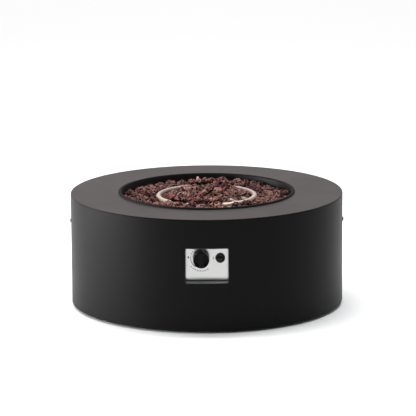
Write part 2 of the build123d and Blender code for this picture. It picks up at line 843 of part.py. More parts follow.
def make_valve_stem():
    """Stem with a flat for the knob and a shoulder that keeps it in the valve."""
    knob_back = panel_sheet + knob_gap
    stem = post(stem_diameter / 2, -guide_length - run_fit - shoulder_length, knob_back)
    flat = extrude(d_section(stem_diameter / 2, stem_flat), stem_grip)
    stem += Pos(0, 0, knob_back) * flat
    stem += post(shoulder_diameter / 2, -guide_length - run_fit - shoulder_length, -guide_length - run_fit)
    return facing(knob_x) * stem


def make_valve_plunger():
    """Collar and pin that the stem pushes to open the magnet valve."""
    back = -collar_back()
    plunger = post(collar_diameter / 2, back, back + collar_length)
    return facing(knob_x) * (plunger + post(plunger_diameter / 2, back - plunger_length, back))


def make_stem_spring():
    """Spring round the plunger that returns the knob."""
    low = -bonnet_length + thread_fit
    return facing(knob_x) * coil("stem_spring", stem_spring_mean, stem_spring_wire, low,
                                 -collar_back() - thread_fit, stem_spring_turns)


def make_control_knob():
    """Round knob with a grip bar between two scoops, hollow behind, on the stem's flat."""
    radius = knob_diameter / 2
    knob = Cone(radius, radius - knob_draft, knob_length, align=(Align.CENTER, Align.CENTER, Align.MIN))
    knob = fillet(knob.edges().sort_by(Axis.Z)[-1], knob_round)
    scoop = Circle(radius - knob_draft - knob_rim) - Rectangle(grip_width, knob_diameter)
    scoop = fillet(scoop.vertices(), knob_round)
    knob -= extrude(Pos(0, 0, knob_length - scoop_depth) * scoop, scoop_depth)
    knob -= post(radius - knob_shell, 0, knob_hollow) - post(knob_boss / 2, 0, knob_hollow)
    knob -= extrude(d_section(stem_diameter / 2 + thread_fit, stem_flat + thread_fit), stem_grip + thread_fit)
    return facing(knob_x) * Pos(0, 0, panel_sheet + knob_gap) * knob


def make_inlet_fitting():
    """Flare fitting under the valve that takes the supply hose's nut."""
    hexed = hexagon(inlet_flats, 0, inlet_hex)
    thread = post(inlet_thread / 2, inlet_hex, inlet_hex + inlet_length)
    root = inlet_thread / 2 - inlet_nose_step
    nose = Cone(root, root - inlet_nose_taper, inlet_nose, align=(Align.CENTER, Align.CENTER, Align.MIN))
    fitting = hexed + thread + Pos(0, 0, inlet_hex + inlet_length) * nose
    fitting -= post(inlet_bore / 2, 0, inlet_hex + inlet_length + inlet_nose)
    return Plane(inlet_point(), z_dir=(0, 0, -1)) * fitting


def inlet_point():
    """The middle of the valve block's lower face."""
    return Vector(knob_x, panel_back_y + valve_mid, control_z - valve_height / 2)


def button_seat():
    """How far in front of the panel's back face the button's flange rests under the cap's lip."""
    return panel_sheet + igniter_flange + cap_length - cap_lip - run_fit


def battery_front():
    """How far in front of the panel's back face the battery's tip lies; negative is behind."""
    return button_seat() - button_flange - button_spring_length - 2 * thread_fit


def igniter_length():
    """From the panel's front face to the back of the igniter's housing."""
    return panel_sheet - battery_front() + battery_tip + battery_length + igniter_tail + loose_fit


def make_igniter_housing():
    """Igniter barrel through the panel, bored for the battery, with a terminal at its back."""
    back = panel_sheet - igniter_length()
    front = panel_sheet + igniter_flange
    housing = post(igniter_flange_diameter / 2, panel_sheet, front)
    housing += post(igniter_body_diameter / 2, back, panel_sheet)
    housing += post(terminal_diameter / 2, back - terminal_length, back)
    bore = battery_diameter / 2 + loose_fit
    return facing(igniter_x) * (housing - post(bore, back + igniter_tail, front))


def make_igniter_nut():
    """Nut that clamps the igniter behind the panel."""
    nut = hexagon(igniter_nut_flats, -igniter_nut_height, 0)
    nut -= post(igniter_body_diameter / 2 + thread_fit, -igniter_nut_height, 0)
    return facing(igniter_x) * nut


def make_igniter_cap():
    """Screw cap with a lip that keeps the button in."""
    low = panel_sheet + igniter_flange
    cap = post(cap_diameter / 2, low, low + cap_length)
    cap = fillet(cap.edges().sort_by(Axis.Z)[-1], cap_round)
    cap -= post(cap_bore / 2, low, low + cap_length - cap_lip)
    return facing(igniter_x) * (cap - post(button_diameter / 2 + slide_fit, low, low + cap_length))


def make_igniter_button():
    """Domed push button with a flange behind the cap's lip."""
    seat = button_seat()
    front = panel_sheet + igniter_flange + cap_length + button_proud
    button = domed(button_diameter / 2, seat - button_flange, front, button_crown)
    return facing(igniter_x) * (button + post(button_flange_diameter / 2, seat - button_flange, seat))


def make_button_spring():
    """Spring between the battery and the button."""
    high = button_seat() - button_flange - thread_fit
    low = battery_front() + thread_fit
    return facing(igniter_x) * coil("button_spring", button_spring_mean, button_spring_wire, low, high,
                                    button_spring_turns)


def make_battery():
    """Battery cell in the igniter's barrel."""
    tip = battery_front()
    shoulder = tip - battery_tip
    cell = post(battery_diameter / 2, shoulder - battery_length, shoulder)
    return facing(igniter_x) * (cell + post(battery_tip_diameter / 2, shoulder, tip))


def wall_radius(z):
    """The bowl wall's inner radius at a height."""
    share = (z - floor_z) / bowl_depth
    return bowl_wall_low + bowl_taper * share - bowl_sheet


def make_lava_fill():
    """The packed lower layers of lava rock, clear of the riser's nut and the hood."""
    low = floor_z + loose_fit
    foot = wall_radius(floor_z) - bowl_corner
    heel = wall_radius(floor_z + bowl_corner) - loose_fit
    shoulder = wall_radius(bed_z) - loose_fit
    section = Polyline((0, low), (foot, low), (heel, floor_z + bowl_corner), (shoulder, bed_z), (0, bed_z),
                       (0, low))
    fill = turned(make_face(section))
    fill -= post(riser_nut_flats / math.sqrt(3) + loose_fit, floor_z, floor_z + riser_nut_height + loose_fit)
    fill -= post(max(hub_diameter / 2, riser_radius) + loose_fit, floor_z, bed_z + loose_fit)
    length = hood_length + 2 * hood_foot + 2 * loose_fit
    return fill - hood_frame(0) * block(length, hood_width + 2 * loose_fit, floor_z, bed_z + loose_fit)


def clip(outline, way, limit):
    """The part of a convex outline that lies no further than a limit along a direction."""
    kept = []
    for here, there in zip(outline, outline[1:] + outline[:1]):
        room = limit - here.dot(way)
        next_room = limit - there.dot(way)
        if room >= 0:
            kept.append(here)
        if room * next_room < 0:
            kept.append(here + (there - here) * (room / (room - next_room)))
    return kept


def rock_sites(draw):
    """Places for the rocks, each with its own room, spread over the bed; the largest rock comes first."""
    sites = [(Vector(boulder_x, boulder_y, 0), boulder_width)]
    edge = wall_radius(bed_z) - rock_least / 4
    for attempt in range(rock_tries):
        far = edge * math.sqrt(draw.random())
        site = Vector(far, 0, 0).rotate(Axis.Z, draw.uniform(0, 360))
        room = draw.uniform(rock_least, rock_most)
        spot = hood_frame(0).to_local_coords(site)
        in_hood = abs(spot.X) < hood_length / 2 + hood_foot and abs(spot.Y) < hood_width / 2
        if far < hub_diameter / 2 + rock_gap or in_hood:
            continue
        if all((site - other).length > (room + taken) / 2 for other, taken in sites):
            sites.append((site, room))
    return sites


def rock_limits(site):
    """Limits that keep a rock off its neighbours in the bowl, and whether it lies under a tube."""
    out = site.normalized()
    far = site.length
    slant = Vector(1, 0, 0).rotate(Axis.Z, cross_angle + 90)
    if site.dot(slant) < 0:
        slant = -slant
    hood_x_way = Vector(1, 0, 0).rotate(Axis.Z, hood_turn)
    spot = hood_frame(0).to_local_coords(site)
    room = tube_radius + rock_gap
    leans = (-wall_lean, 0, wall_lean)
    limits = [(out.rotate(Axis.Z, lean), wall_radius(bed_z) - rock_gap) for lean in leans]
    limits.append((-out, -hub_diameter / 2 - rock_gap))
    past_end = abs(spot.X) - hood_length / 2 - hood_foot
    past_side = abs(spot.Y) - hood_width / 2
    if past_end > past_side:
        way = hood_x_way * math.copysign(1, -spot.X)
    else:
        way = hood_x_way.rotate(Axis.Z, 90) * math.copysign(1, -spot.Y)
    limits.append((way, site.dot(way) + max(past_end, past_side) - rock_gap))
    under = False
    if far > ring_radius + room:
        limits.append((-out, -ring_radius - room))
    elif far < ring_radius - room:
        limits.append((out, ring_radius - room - rock_gap))
    else:
        under = True
    if far < ring_radius + room and site.dot(slant) > room:
        limits.append((-slant, -room))
    elif far < ring_radius + room:
        under = True
    return limits, under


def rock_height(draw, site):
    """A rock's height: highest in the middle, and level with the ring where the bed is heaped over its front."""
    turn = math.degrees(math.atan2(site.Y, site.X)) % 360
    if mound_start < turn < mound_stop and abs(site.length - ring_radius) < mound_reach:
        return draw.uniform(mound_low, mound_high)
    return draw.uniform(rock_low, rock_high) + heap_rise * max(0, 1 - site.length / ring_radius)


def make_rock(draw, number, sites):
    """An angular rock that fills its share of the bed, wide at its waist and narrower at foot and crown."""
    site, room = sites[number]
    square = [Vector(1, 1, 0), Vector(-1, 1, 0), Vector(-1, -1, 0), Vector(1, -1, 0)]
    outline = [site + corner * room for corner in square]
    for other, taken in sites:
        apart = (other - site).length
        if 0 < apart < 2 * (room + taken):
            way = (other - site).normalized()
            outline = clip(outline, way, way.dot(site) + apart * room / (room + taken) - rock_gap / 2)
    limits, under = rock_limits(site)
    for way, limit in limits:
        outline = clip(outline, way, limit)
    height = rock_height(draw, site)
    if number == 0:
        height = boulder_height
    if under:
        height = min(height, ring_z - tube_radius - rock_gap - bed_z)
    points = []
    for share, level in rock_levels:
        for corner in outline:
            reach = share * draw.uniform(1 - rock_roughness, 1)
            foot = site + (corner - site) * reach
            drop = rock_roughness * draw.random() if level > 0.5 else 0
            points.append(foot + Vector(0, 0, bed_z + rock_seat + height * (level - drop)))
    return ConvexPolyhedron(points)


def perches():
    """Points along the burner's crest, on the ring and on the cross tube, that carry a rock."""
    crest = Vector(0, 0, ring_z + tube_radius + rock_seat)
    across = Vector(perched_pitch, 0, 0).rotate(Axis.Z, cross_angle)
    steps = int(ring_radius / perched_pitch) - 1
    points = [crest + across * i for i in range(-steps, steps + 1)]
    pitch = math.degrees(perched_pitch / ring_radius)
    for start, stop in perched_spans:
        for i in range(int((stop - start) / pitch) + 1):
            points.append(crest + Vector(ring_radius, 0, 0).rotate(Axis.Z, start + pitch * i))
    return points


def perched_rock(draw, perch):
    """A small rock that stands on the burner's crest by its lowest corner."""
    reach = draw.uniform(perched_least, perched_most) / 2
    points = [Vector(0, 0, -reach)]
    golden = 180 * (3 - math.sqrt(5))
    for i in range(rock_corners):
        rise = 1 - perched_foot * i / rock_corners
        level = reach * (1 - rock_roughness * draw.random())
        side = Vector(math.sqrt(1 - rise**2) * level, 0, rise * level)
        points.append(side.rotate(Axis.Z, golden * i))
    return Pos(perch + Vector(0, 0, reach)) * ConvexPolyhedron(points)


def make_lava_rocks():
    """The loose top layer of lava rock on the bed, with a few rocks perched on the burner."""
    draw = random.Random(rock_seed)
    sites = rock_sites(draw)
    rocks = [make_rock(draw, number, sites) for number in range(len(sites))]
    rocks += [perched_rock(draw, perch) for perch in perches()]
    print(f"lava_rocks: {len(rocks)} rocks")
    return Compound(rocks)


drum_shell = make_drum_shell()

parts = {
    "drum_shell": drum_shell,
    "top_ring": make_top_ring(),
    "hose_trim": make_hose_trim(),
    "feet": make_feet(),
    "foot_screws": make_foot_screws(),
    "foot_nuts": make_foot_nuts(),
    "fire_bowl": make_fire_bowl(),
    "burner_ring": make_burner_ring(),
    "burner_riser": make_burner_riser(),
    "riser_nuts": make_riser_nuts(),
    "air_mixer": make_air_mixer(),
    "gas_jet": make_gas_jet(),
    "gas_tube": make_gas_tube(),
    "tube_nuts": make_tube_nuts(),
    "bowl_rail": make_bowl_rail(),
    "side_bolts": make_side_bolts(),
    "side_bolt_nuts": make_side_bolt_nuts(),
    "heat_shield": make_heat_shield(),
    "shield_standoffs": make_shield_standoffs(),
    "shield_screws": make_shield_screws(),
    "igniter_hood": make_igniter_hood(),
    "hood_screws": make_hood_screws(),
    "sensor_bracket": make_sensor_bracket(),
    "electrode": make_electrode(),
    "electrode_rod": make_electrode_rod(),
    "thermocouple": make_thermocouple(),
    "igniter_lead": make_igniter_lead(),
    "thermocouple_lead": make_thermocouple_lead(),
    "control_box": make_control_box(),
    "control_panel": make_control_panel(),
    "panel_screws": make_panel_screws(),
    "gas_valve": make_gas_valve(),
    "valve_screws": make_valve_screws(),
    "valve_stem": make_valve_stem(),
    "valve_plunger": make_valve_plunger(),
    "stem_spring": make_stem_spring(),
    "control_knob": make_control_knob(),
    "inlet_fitting": make_inlet_fitting(),
    "igniter_housing": make_igniter_housing(),
    "igniter_nut": make_igniter_nut(),
    "igniter_cap": make_igniter_cap(),
    "igniter_button": make_igniter_button(),
    "button_spring": make_button_spring(),
    "battery": make_battery(),
    "lava_fill": make_lava_fill(),
    "lava_rocks": make_lava_rocks(),
}

os.makedirs("parts", exist_ok=True)
for name, part in parts.items():
    export_step(part, f"parts/{name}.step")
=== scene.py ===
import json
import math
import random

import bmesh
import bpy
import numpy as np
from bpy.props import FloatProperty, FloatVectorProperty, IntProperty, PointerProperty
from mathutils import Matrix, Vector, noise


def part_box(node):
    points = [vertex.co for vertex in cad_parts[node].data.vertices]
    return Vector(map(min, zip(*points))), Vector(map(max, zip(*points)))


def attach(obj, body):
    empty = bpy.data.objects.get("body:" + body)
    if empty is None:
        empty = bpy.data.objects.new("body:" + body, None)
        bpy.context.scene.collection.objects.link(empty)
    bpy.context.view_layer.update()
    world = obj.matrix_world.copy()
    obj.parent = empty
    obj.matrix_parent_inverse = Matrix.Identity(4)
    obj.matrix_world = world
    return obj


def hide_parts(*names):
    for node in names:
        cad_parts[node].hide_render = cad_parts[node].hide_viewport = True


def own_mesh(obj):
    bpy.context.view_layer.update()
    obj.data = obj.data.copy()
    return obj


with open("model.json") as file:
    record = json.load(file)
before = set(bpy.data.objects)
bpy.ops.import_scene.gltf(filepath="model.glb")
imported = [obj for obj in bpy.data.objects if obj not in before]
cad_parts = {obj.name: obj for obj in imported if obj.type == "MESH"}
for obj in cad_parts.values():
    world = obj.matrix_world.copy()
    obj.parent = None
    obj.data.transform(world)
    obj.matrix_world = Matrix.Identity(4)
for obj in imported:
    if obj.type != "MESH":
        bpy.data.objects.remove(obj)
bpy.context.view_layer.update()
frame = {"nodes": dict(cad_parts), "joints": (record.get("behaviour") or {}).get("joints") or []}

bl_info = {
    "name": "Propane Fire Pit",
    "version": (1, 0, 0),
    "blender": (4, 5, 0),
    "location": "View3D > Sidebar > Fire Pit",
    "description": "Finishes a round propane fire pit: coated drum, lava rock, ring burner and control panel",
    "category": "Object",
}

NODES = frame["nodes"]
JOINTS = {joint["name"]: joint for joint in frame["joints"]}
KNOB = Vector(JOINTS["knob_turn"]["pos_m"])
IGNITER = sum(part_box("igniter_button"), Vector()) / 2
PANEL_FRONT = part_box("control_panel")[0].y
RING_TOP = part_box("burner_ring")[1].z


def colour_property(name, description, default, brightest=1):
    """A colour that a user would change."""
    return FloatVectorProperty(
        name=name, description=description, default=default, subtype="COLOR", min=0, max=brightest
    )


def light_property(name, description, default):
    """A light's colour and strength that a user would change."""
    return colour_property(name, description, default, brightest=9)


def length_property(name, description, default):
    """A length in metres that a user would change."""
    return FloatProperty(
        name=name, description=description, default=default, subtype="DISTANCE", unit="LENGTH"
    )


def place_property(name, description, default):
    """A place in metres that a user would change."""
    return FloatVectorProperty(name=name, description=description, default=default, subtype="XYZ")


def factor_property(name, description, default):
    """A plain factor that a user would change."""
    return FloatProperty(name=name, description=description, default=default, min=0)


def power_property(name, description, default):
    """A light's power that a user would change."""
    return FloatProperty(name=name, description=description, default=default, subtype="POWER")


class CoatSettings(bpy.types.PropertyGroup):
    """Black powder coat of the drum, and the matt coat of the bowl."""

    colour: colour_property("Coat colour", "Base colour of the powder coat", (0.0026, 0.0025, 0.0026))
    sheen: factor_property("Coat sheen", "Mirror strength of the coat", 0.075)
    roughness: factor_property("Coat roughness", "Spread of the coat's reflections", 0.44)
    grain: length_property("Coat grain", "Width of the coat's fine orange-peel grain", 0.0011)
    bowl_colour: colour_property("Bowl colour", "Colour of the heat-proof coat", (0.0013, 0.0011, 0.0011))


class RockSettings(bpy.types.PropertyGroup):
    """Lava rock in the bowl."""

    red: colour_property("Red rock", "Colour of the reddest rocks", (0.25, 0.095, 0.079))
    brown: colour_property("Brown rock", "Colour of the most common rocks", (0.2, 0.106, 0.091))
    violet: colour_property("Violet rock", "Colour of the darkest rocks", (0.055, 0.02, 0.026))
    ash: colour_property("Ash", "Colour of the pale ashy rocks", (0.47, 0.285, 0.245))
    pore: length_property("Pore width", "Width of the open pores", 0.0088)
    full_reach: length_property("Full reach", "Mean reach of a rock with pores of full width", 0.022)
    swell: factor_property("Heap swell", "How far the rocks of the heap fill their places", 1.28)
    rim_swell: factor_property("Rim swell", "How far the outer rocks fill their places", 1.16)
    dark_swell: factor_property("Dark rock swell", "How far the dark rock fills its place", 1.3)
    ring_swell: factor_property("Ring swell", "How far the rocks on the burner fill their places", 1.7)
    front_swell: factor_property("Front swell", "How far the front mound's rocks fill their places", 1.35)
    front_line: length_property("Front line", "Where the front mound starts, along Y", -0.12)
    front_end: length_property("Front end", "Where the front mound ends, along X", 0.06)
    heap_radius: length_property("Heap radius", "Radius of the heap in the middle of the bowl", 0.165)
    rim_tone: factor_property("Rim tone", "How pale the outer rocks can be", 0.36)
    lumps: factor_property("Lumps", "Depth of the lumps, as a share of a rock's reach", 0.26)
    pits: factor_property("Pits", "Depth of the pits, as a share of a rock's reach", 0.32)
    # Painted shade: the rocks darken towards their undersides, where they shade each other
    underside_shade: factor_property("Soot", "How fast the rocks darken towards their undersides", 2.6)
    underside_shade_line: factor_property("Soot line", "Height on a rock of the heap where soot starts", 0.12)
    rim_underside_shade_line: factor_property("Rim soot line", "Height on an outer rock where soot starts", 0.34)
    detail: IntProperty(name="Detail", description="Subdivisions of each rock", default=4, min=2, max=5)
    seed: IntProperty(name="Seed", description="Start of the random draws", default=4)
    dark_place: place_property("Dark rock", "Place of the large dark rock", (0.05, 0.06, 0.325))


class MetalSettings(bpy.types.PropertyGroup):
    """Bright metals of the burner, the panel and the gas line."""

    steel: colour_property("Steel", "Colour of the brushed stainless steel", (0.45, 0.452, 0.442))
    burner: colour_property("Burner steel", "Colour of the burner's steel", (0.4, 0.335, 0.285))
    # A near-black non-metal colour for the cross tube and the hub
    burner_dark: colour_property("Burner dust", "Rock dust on the cross tube", (0.03, 0.013, 0.0095))
    hood: colour_property("Hood steel", "Colour of the hood over the igniter", (0.42, 0.38, 0.35))
    # Painted light: grey metal on the sill's upward faces, so that the sill looks lit
    sill: colour_property("Sill", "Colour of the recess's sill where it is worn", (0.47, 0.47, 0.47))
    zinc: colour_property("Zinc", "Colour of the zinc plating", (0.56, 0.58, 0.6))
    brass: colour_property("Brass", "Colour of the brass fittings", (0.66, 0.45, 0.17))
    aluminium: colour_property("Aluminium", "Colour of the gas line and the mixer", (0.7, 0.71, 0.72))
    copper: colour_property("Copper", "Colour of the flame sensor's lead", (0.68, 0.32, 0.2))
    spring: colour_property("Spring", "Colour of the spring wire", (0.55, 0.55, 0.56))
    cell: colour_property("Cell", "Colour of the igniter's cell", (0.35, 0.36, 0.38))
    oxide: colour_property("Oxide", "Colour of the black side bolts", (0.009, 0.009, 0.0095))
    brush_lines: length_property("Brush lines", "Spacing of the brush lines", 0.0007)


class ControlSettings(bpy.types.PropertyGroup):
    """Plastics, rubber, ceramic and print."""

    knob: colour_property("Knob", "Colour of the knob's plastic", (0.002, 0.002, 0.0021))
    button: colour_property("Button", "Colour of the igniter's plastic", (0.0025, 0.0025, 0.0028))
    rubber: colour_property("Rubber", "Colour of the feet and the edging", (0.012, 0.012, 0.012))
    sleeve: colour_property("Sleeve", "Colour of the igniter lead's sleeve", (0.24, 0.02, 0.016))
    ceramic: colour_property("Ceramic", "Colour of the electrode's glaze", (0.78, 0.76, 0.7))
    dust: colour_property("Dust", "Colour of settled dust", (0.2, 0.19, 0.18))
    ink: colour_property("Ink", "Colour of the printed dial", (0.012, 0.012, 0.013))
    dial_radius: length_property("Dial radius", "Radius of the printed dial", 0.0305)
    dial_line: length_property("Dial line", "Width of the printed lines", 0.0016)


class StageSettings(bpy.types.PropertyGroup):
    """Floor, light and camera."""

    floor: colour_property("Floor", "Colour of the floor", (0.82, 0.83, 0.83))
    sky_front: light_property("Sky in front", "Light from the camera's side", (0.44, 0.45, 0.46))
    sky_back: light_property("Sky behind", "Low light from behind the pit", (1.62, 1.43, 1.41))
    sky_high: light_property("High sky", "High light from behind the pit", (2.2, 2.2, 2.2))
    sky_right: factor_property("Sky at right", "Share of the light that stays at the right", 0.22)
    left_power: power_property("Left light", "Power of the left softbox", 165)
    top_power: power_property("Top light", "Power of the overhead softbox", 105)
    back_power: power_property("Back light", "Power of the softbox over the far floor", 24)
    front_power: power_property("Front light", "Power of the small front light", 26)
    camera: place_property("Camera", "Place of the camera", (0.0039, -8.5486, 2.0945))
    target: place_property("Target", "Point that the camera looks at", (0.0039, 0.0, 0.2849))
    roll: FloatProperty(
        name="Roll", description="Turn about the camera's axis", subtype="ANGLE", default=math.radians(0.36)
    )
    lens: factor_property("Lens", "Focal length in millimetres", 252.35)


def add_node(tree, kind, inputs=None, **options):
    """Add a node, set its options, and set or link its inputs."""
    node = tree.nodes.new(kind)
    for option, value in options.items():
        setattr(node, option, value)
    for name, value in (inputs or {}).items():
        if isinstance(value, bpy.types.NodeSocket):
            tree.links.new(value, node.inputs[name])
        else:
            node.inputs[name].default_value = value
    return node


def object_point(tree):
    """The point on the piece in its own frame, which is the part's frame in metres."""
    return tree.nodes.new("ShaderNodeTexCoord").outputs["Object"]


def noise_mask(tree, point, scale, **inputs):
    """A mask of soft noise."""
    return add_node(tree, "ShaderNodeTexNoise", {"Vector": point, "Scale": scale, **inputs}).outputs["Fac"]


def ramp_mask(tree, value, low=0.0, high=1.0, to_low=0.0, to_high=1.0, **options):
    """A value between two limits, carried to a range."""
    inputs = {"Value": value, "From Min": low, "From Max": high, "To Min": to_low, "To Max": to_high}
    return add_node(tree, "ShaderNodeMapRange", inputs, **options).outputs["Result"]


def calculate(tree, operation, first, second, **options):
    """Two values put together by one operation."""
    node = add_node(tree, "ShaderNodeMath", {0: first, 1: second}, operation=operation, **options)
    return node.outputs["Value"]


def upward_mask(tree, low, high):
    """A mask of the faces that look up: the normal's height between two limits."""
    normal = tree.nodes.new("ShaderNodeNewGeometry").outputs["Normal"]
    height = add_node(tree, "ShaderNodeSeparateXYZ", {"Vector": normal}).outputs["Z"]
    return ramp_mask(tree, height, low, high)


def new_group(name, inputs, outputs):
    """A shader node group with named float sockets; returns the tree and its two end nodes."""
    tree = bpy.data.node_groups.new(name, "ShaderNodeTree")
    for label, value in inputs.items():
        socket = tree.interface.new_socket(label, in_out="INPUT", socket_type="NodeSocketFloat")
        socket.default_value = value
    for label in outputs:
        tree.interface.new_socket(label, in_out="OUTPUT", socket_type="NodeSocketFloat")
    return tree, tree.nodes.new("NodeGroupInput"), tree.nodes.new("NodeGroupOutput")


def coat_grain_group():
    """Fine orange-peel grain of a sprayed coat, and a slow mottle over it."""
    tree, start, end = new_group("Coat Grain", {"Grain": 900.0, "Mottle": 9.0}, ("Height", "Mottle"))
    point = object_point(tree)
    peel = noise_mask(tree, point, start.outputs["Grain"], Detail=2.0)
    slow = noise_mask(tree, point, start.outputs["Mottle"], Detail=4.0, Roughness=0.6)
    tree.links.new(peel, end.inputs["Height"])
    tree.links.new(slow, end.inputs["Mottle"])
    return tree


def brush_group():
    """Straight brush lines; each axis has its own pitch, and a low pitch is the brushing direction."""
    inputs = {"Pitch X": 20.0, "Pitch Y": 1400.0, "Pitch Z": 1400.0}
    tree, start, end = new_group("Brush Lines", inputs, ("Height", "Smudge"))
    point = object_point(tree)
    pitch = add_node(tree, "ShaderNodeCombineXYZ", {axis: start.outputs[f"Pitch {axis}"] for axis in "XYZ"})
    stretched = add_node(
        tree, "ShaderNodeVectorMath", {0: point, 1: pitch.outputs["Vector"]}, operation="MULTIPLY"
    )
    lines = noise_mask(tree, stretched.outputs["Vector"], scale=1.0, Detail=3.0)
    smudge = noise_mask(tree, point, scale=28.0, Detail=3.0)
    tree.links.new(lines, end.inputs["Height"])
    tree.links.new(smudge, end.inputs["Smudge"])
    return tree


def upward_group():
    """Faces that look up, such as a rim or a sill."""
    tree, start, end = new_group("Upward Faces", {"Low": 0.4, "High": 1.0}, ("Mask",))
    mask = upward_mask(tree, start.outputs["Low"], start.outputs["High"])
    tree.links.new(mask, end.inputs["Mask"])
    return tree


def dust_group():
    """Dust that settles on faces that look up, in soft patches."""
    tree, start, end = new_group("Settled Dust", {"Amount": 0.3, "Patch": 30.0}, ("Mask",))
    upward = upward_mask(tree, low=0.4, high=1.0)
    patch = noise_mask(tree, object_point(tree), start.outputs["Patch"], Detail=6.0, Roughness=0.7)
    settled = calculate(tree, "MULTIPLY", upward, ramp_mask(tree, patch, low=0.4, high=0.75))
    tree.links.new(calculate(tree, "MULTIPLY", settled, start.outputs["Amount"]), end.inputs["Mask"])
    return tree


GROUP_MAKERS = {
    "Coat Grain": coat_grain_group,
    "Brush Lines": brush_group,
    "Upward Faces": upward_group,
    "Settled Dust": dust_group,
}


def place_group(tree, name, **inputs):
    """Place a shared effect, built on its first use, with its own values."""
    shared = bpy.data.node_groups.get(name) or GROUP_MAKERS[name]()
    node = tree.nodes.new("ShaderNodeGroup")
    node.node_tree = shared
    for label, value in inputs.items():
        node.inputs[label.replace("_", " ")].default_value = value
    return node


def new_material(name):
    """An empty material with a Principled shader; returns the material, its tree and the shader."""
    material = bpy.data.materials.new(name)
    material.use_nodes = True
    tree = material.node_tree
    return material, tree, tree.nodes["Principled BSDF"]


# Places of the colour sockets in Blender's Mix node
MIX_FIRST = 6
MIX_SECOND = 7
MIX_RESULT = 2


def mix_colour(tree, factor, first, second):
    """A colour between two, by a mask."""
    node = add_node(tree, "ShaderNodeMix", {"Factor": factor}, data_type="RGBA")
    for place, value in ((MIX_FIRST, first), (MIX_SECOND, second)):
        if isinstance(value, bpy.types.NodeSocket):
            tree.links.new(value, node.inputs[place])
        else:
            node.inputs[place].default_value = (*value, 1)
    return node.outputs[MIX_RESULT]


def bump(tree, shader, height, strength, distance):
    """Raise a shader's surface by a height."""
    node = add_node(tree, "ShaderNodeBump", {"Height": height, "Strength": strength, "Distance": distance})
    tree.links.new(node.outputs["Normal"], shader.inputs["Normal"])


def shade(colour, factor):
    """A colour made darker or lighter."""
    return tuple(min(1, channel * factor) for channel in colour)


def vary_colour(tree, mask, colour, darkest, palest):
    """Let a mask carry a colour from darker to paler."""
    return mix_colour(tree, mask, shade(colour, darkest), shade(colour, palest))


def vary_roughness(tree, shader, mask, middle, swing):
    """Let a mask move the roughness around its middle."""
    roughness = ramp_mask(tree, mask, to_low=middle - swing, to_high=middle + swing)
    tree.links.new(roughness, shader.inputs["Roughness"])


def sprayed_material(name, colour, roughness, sheen, grain, height):
    """A sprayed coat: mottled colour and roughness over a fine grain."""
    material, tree, shader = new_material(name)
    coat = place_group(tree, "Coat Grain", Grain=1 / grain, Mottle=7.0)
    tint = vary_colour(tree, coat.outputs["Mottle"], colour, darkest=0.8, palest=1.2)
    tree.links.new(tint, shader.inputs["Base Color"])
    vary_roughness(tree, shader, coat.outputs["Mottle"], roughness, swing=0.04)
    shader.inputs["Specular IOR Level"].default_value = sheen
    bump(tree, shader, coat.outputs["Height"], strength=0.35, distance=height)
    return material


def bowl_material(colour, grain):
    """The bowl's heat-proof coat, satin on the walls and burnt dull on the rim."""
    material = sprayed_material("heat_coat", colour, roughness=0.42, sheen=0.2, grain=grain, height=0.0002)
    tree = material.node_tree
    shader = tree.nodes["Principled BSDF"]
    satin = shader.inputs["Roughness"].links[0].from_socket
    rim = place_group(tree, "Upward Faces", Low=0.1, High=0.4).outputs["Mask"]
    dull = calculate(tree, "ADD", satin, ramp_mask(tree, rim, to_high=0.55), use_clamp=True)
    tree.links.new(dull, shader.inputs["Roughness"])
    return material


def recess_material(colour, painted_light):
    """The recess behind the window: black coat, with painted light on the sill, whose upward faces turn to a
    grey metal that looks lit.
    """
    material = sprayed_material("recess_coat", colour, roughness=0.4, sheen=0.6, grain=0.0011, height=0.00005)
    tree = material.node_tree
    shader = tree.nodes["Principled BSDF"]
    # Painted light: the sill's upward faces turn to grey metal, so that they look lit
    sill = place_group(tree, "Upward Faces", Low=0.7, High=0.95).outputs["Mask"]
    coat = shader.inputs["Base Color"].links[0].from_socket
    tree.links.new(mix_colour(tree, sill, coat, painted_light), shader.inputs["Base Color"])
    tree.links.new(sill, shader.inputs["Metallic"])
    return material


def brushed_material(name, colour, roughness, pitch, anisotropy=0.0):
    """Brushed metal: fine lines along one axis and faint smudges."""
    material, tree, shader = new_material(name)
    lines = place_group(tree, "Brush Lines", Pitch_X=pitch[0], Pitch_Y=pitch[1], Pitch_Z=pitch[2])
    tint = vary_colour(tree, lines.outputs["Height"], colour, darkest=0.93, palest=1.04)
    tree.links.new(tint, shader.inputs["Base Color"])
    vary_roughness(tree, shader, lines.outputs["Smudge"], roughness, swing=0.06)
    shader.inputs["Metallic"].default_value = 1
    shader.inputs["Anisotropic"].default_value = anisotropy
    bump(tree, shader, lines.outputs["Height"], strength=0.4, distance=0.00003)
    return material


# The cross tube is near-black up to the first radius, and the ring is bare from the second
DARK_RADIUS = 0.132
BARE_RADIUS = 0.144


def burner_material(colour, dust):
    """Burner steel: satin on the ring, and a near-black non-metal on the cross tube and the hub."""
    material = brushed_material("burner_steel", colour, roughness=0.5, pitch=(260, 260, 260))
    tree = material.node_tree
    shader = tree.nodes["Principled BSDF"]
    parts = add_node(tree, "ShaderNodeSeparateXYZ", {"Vector": object_point(tree)})
    flat = add_node(tree, "ShaderNodeCombineXYZ", {axis: parts.outputs[axis] for axis in "XY"})
    radius = add_node(tree, "ShaderNodeVectorMath", {0: flat.outputs["Vector"]}, operation="LENGTH")
    bare = ramp_mask(tree, radius.outputs["Value"], DARK_RADIUS, BARE_RADIUS)
    steel = shader.inputs["Base Color"].links[0].from_socket
    tree.links.new(mix_colour(tree, bare, dust, steel), shader.inputs["Base Color"])
    tree.links.new(bare, shader.inputs["Metallic"])
    return material


# Depth of a moulded skin as a share of its grain
SKIN_DEPTH = 0.125


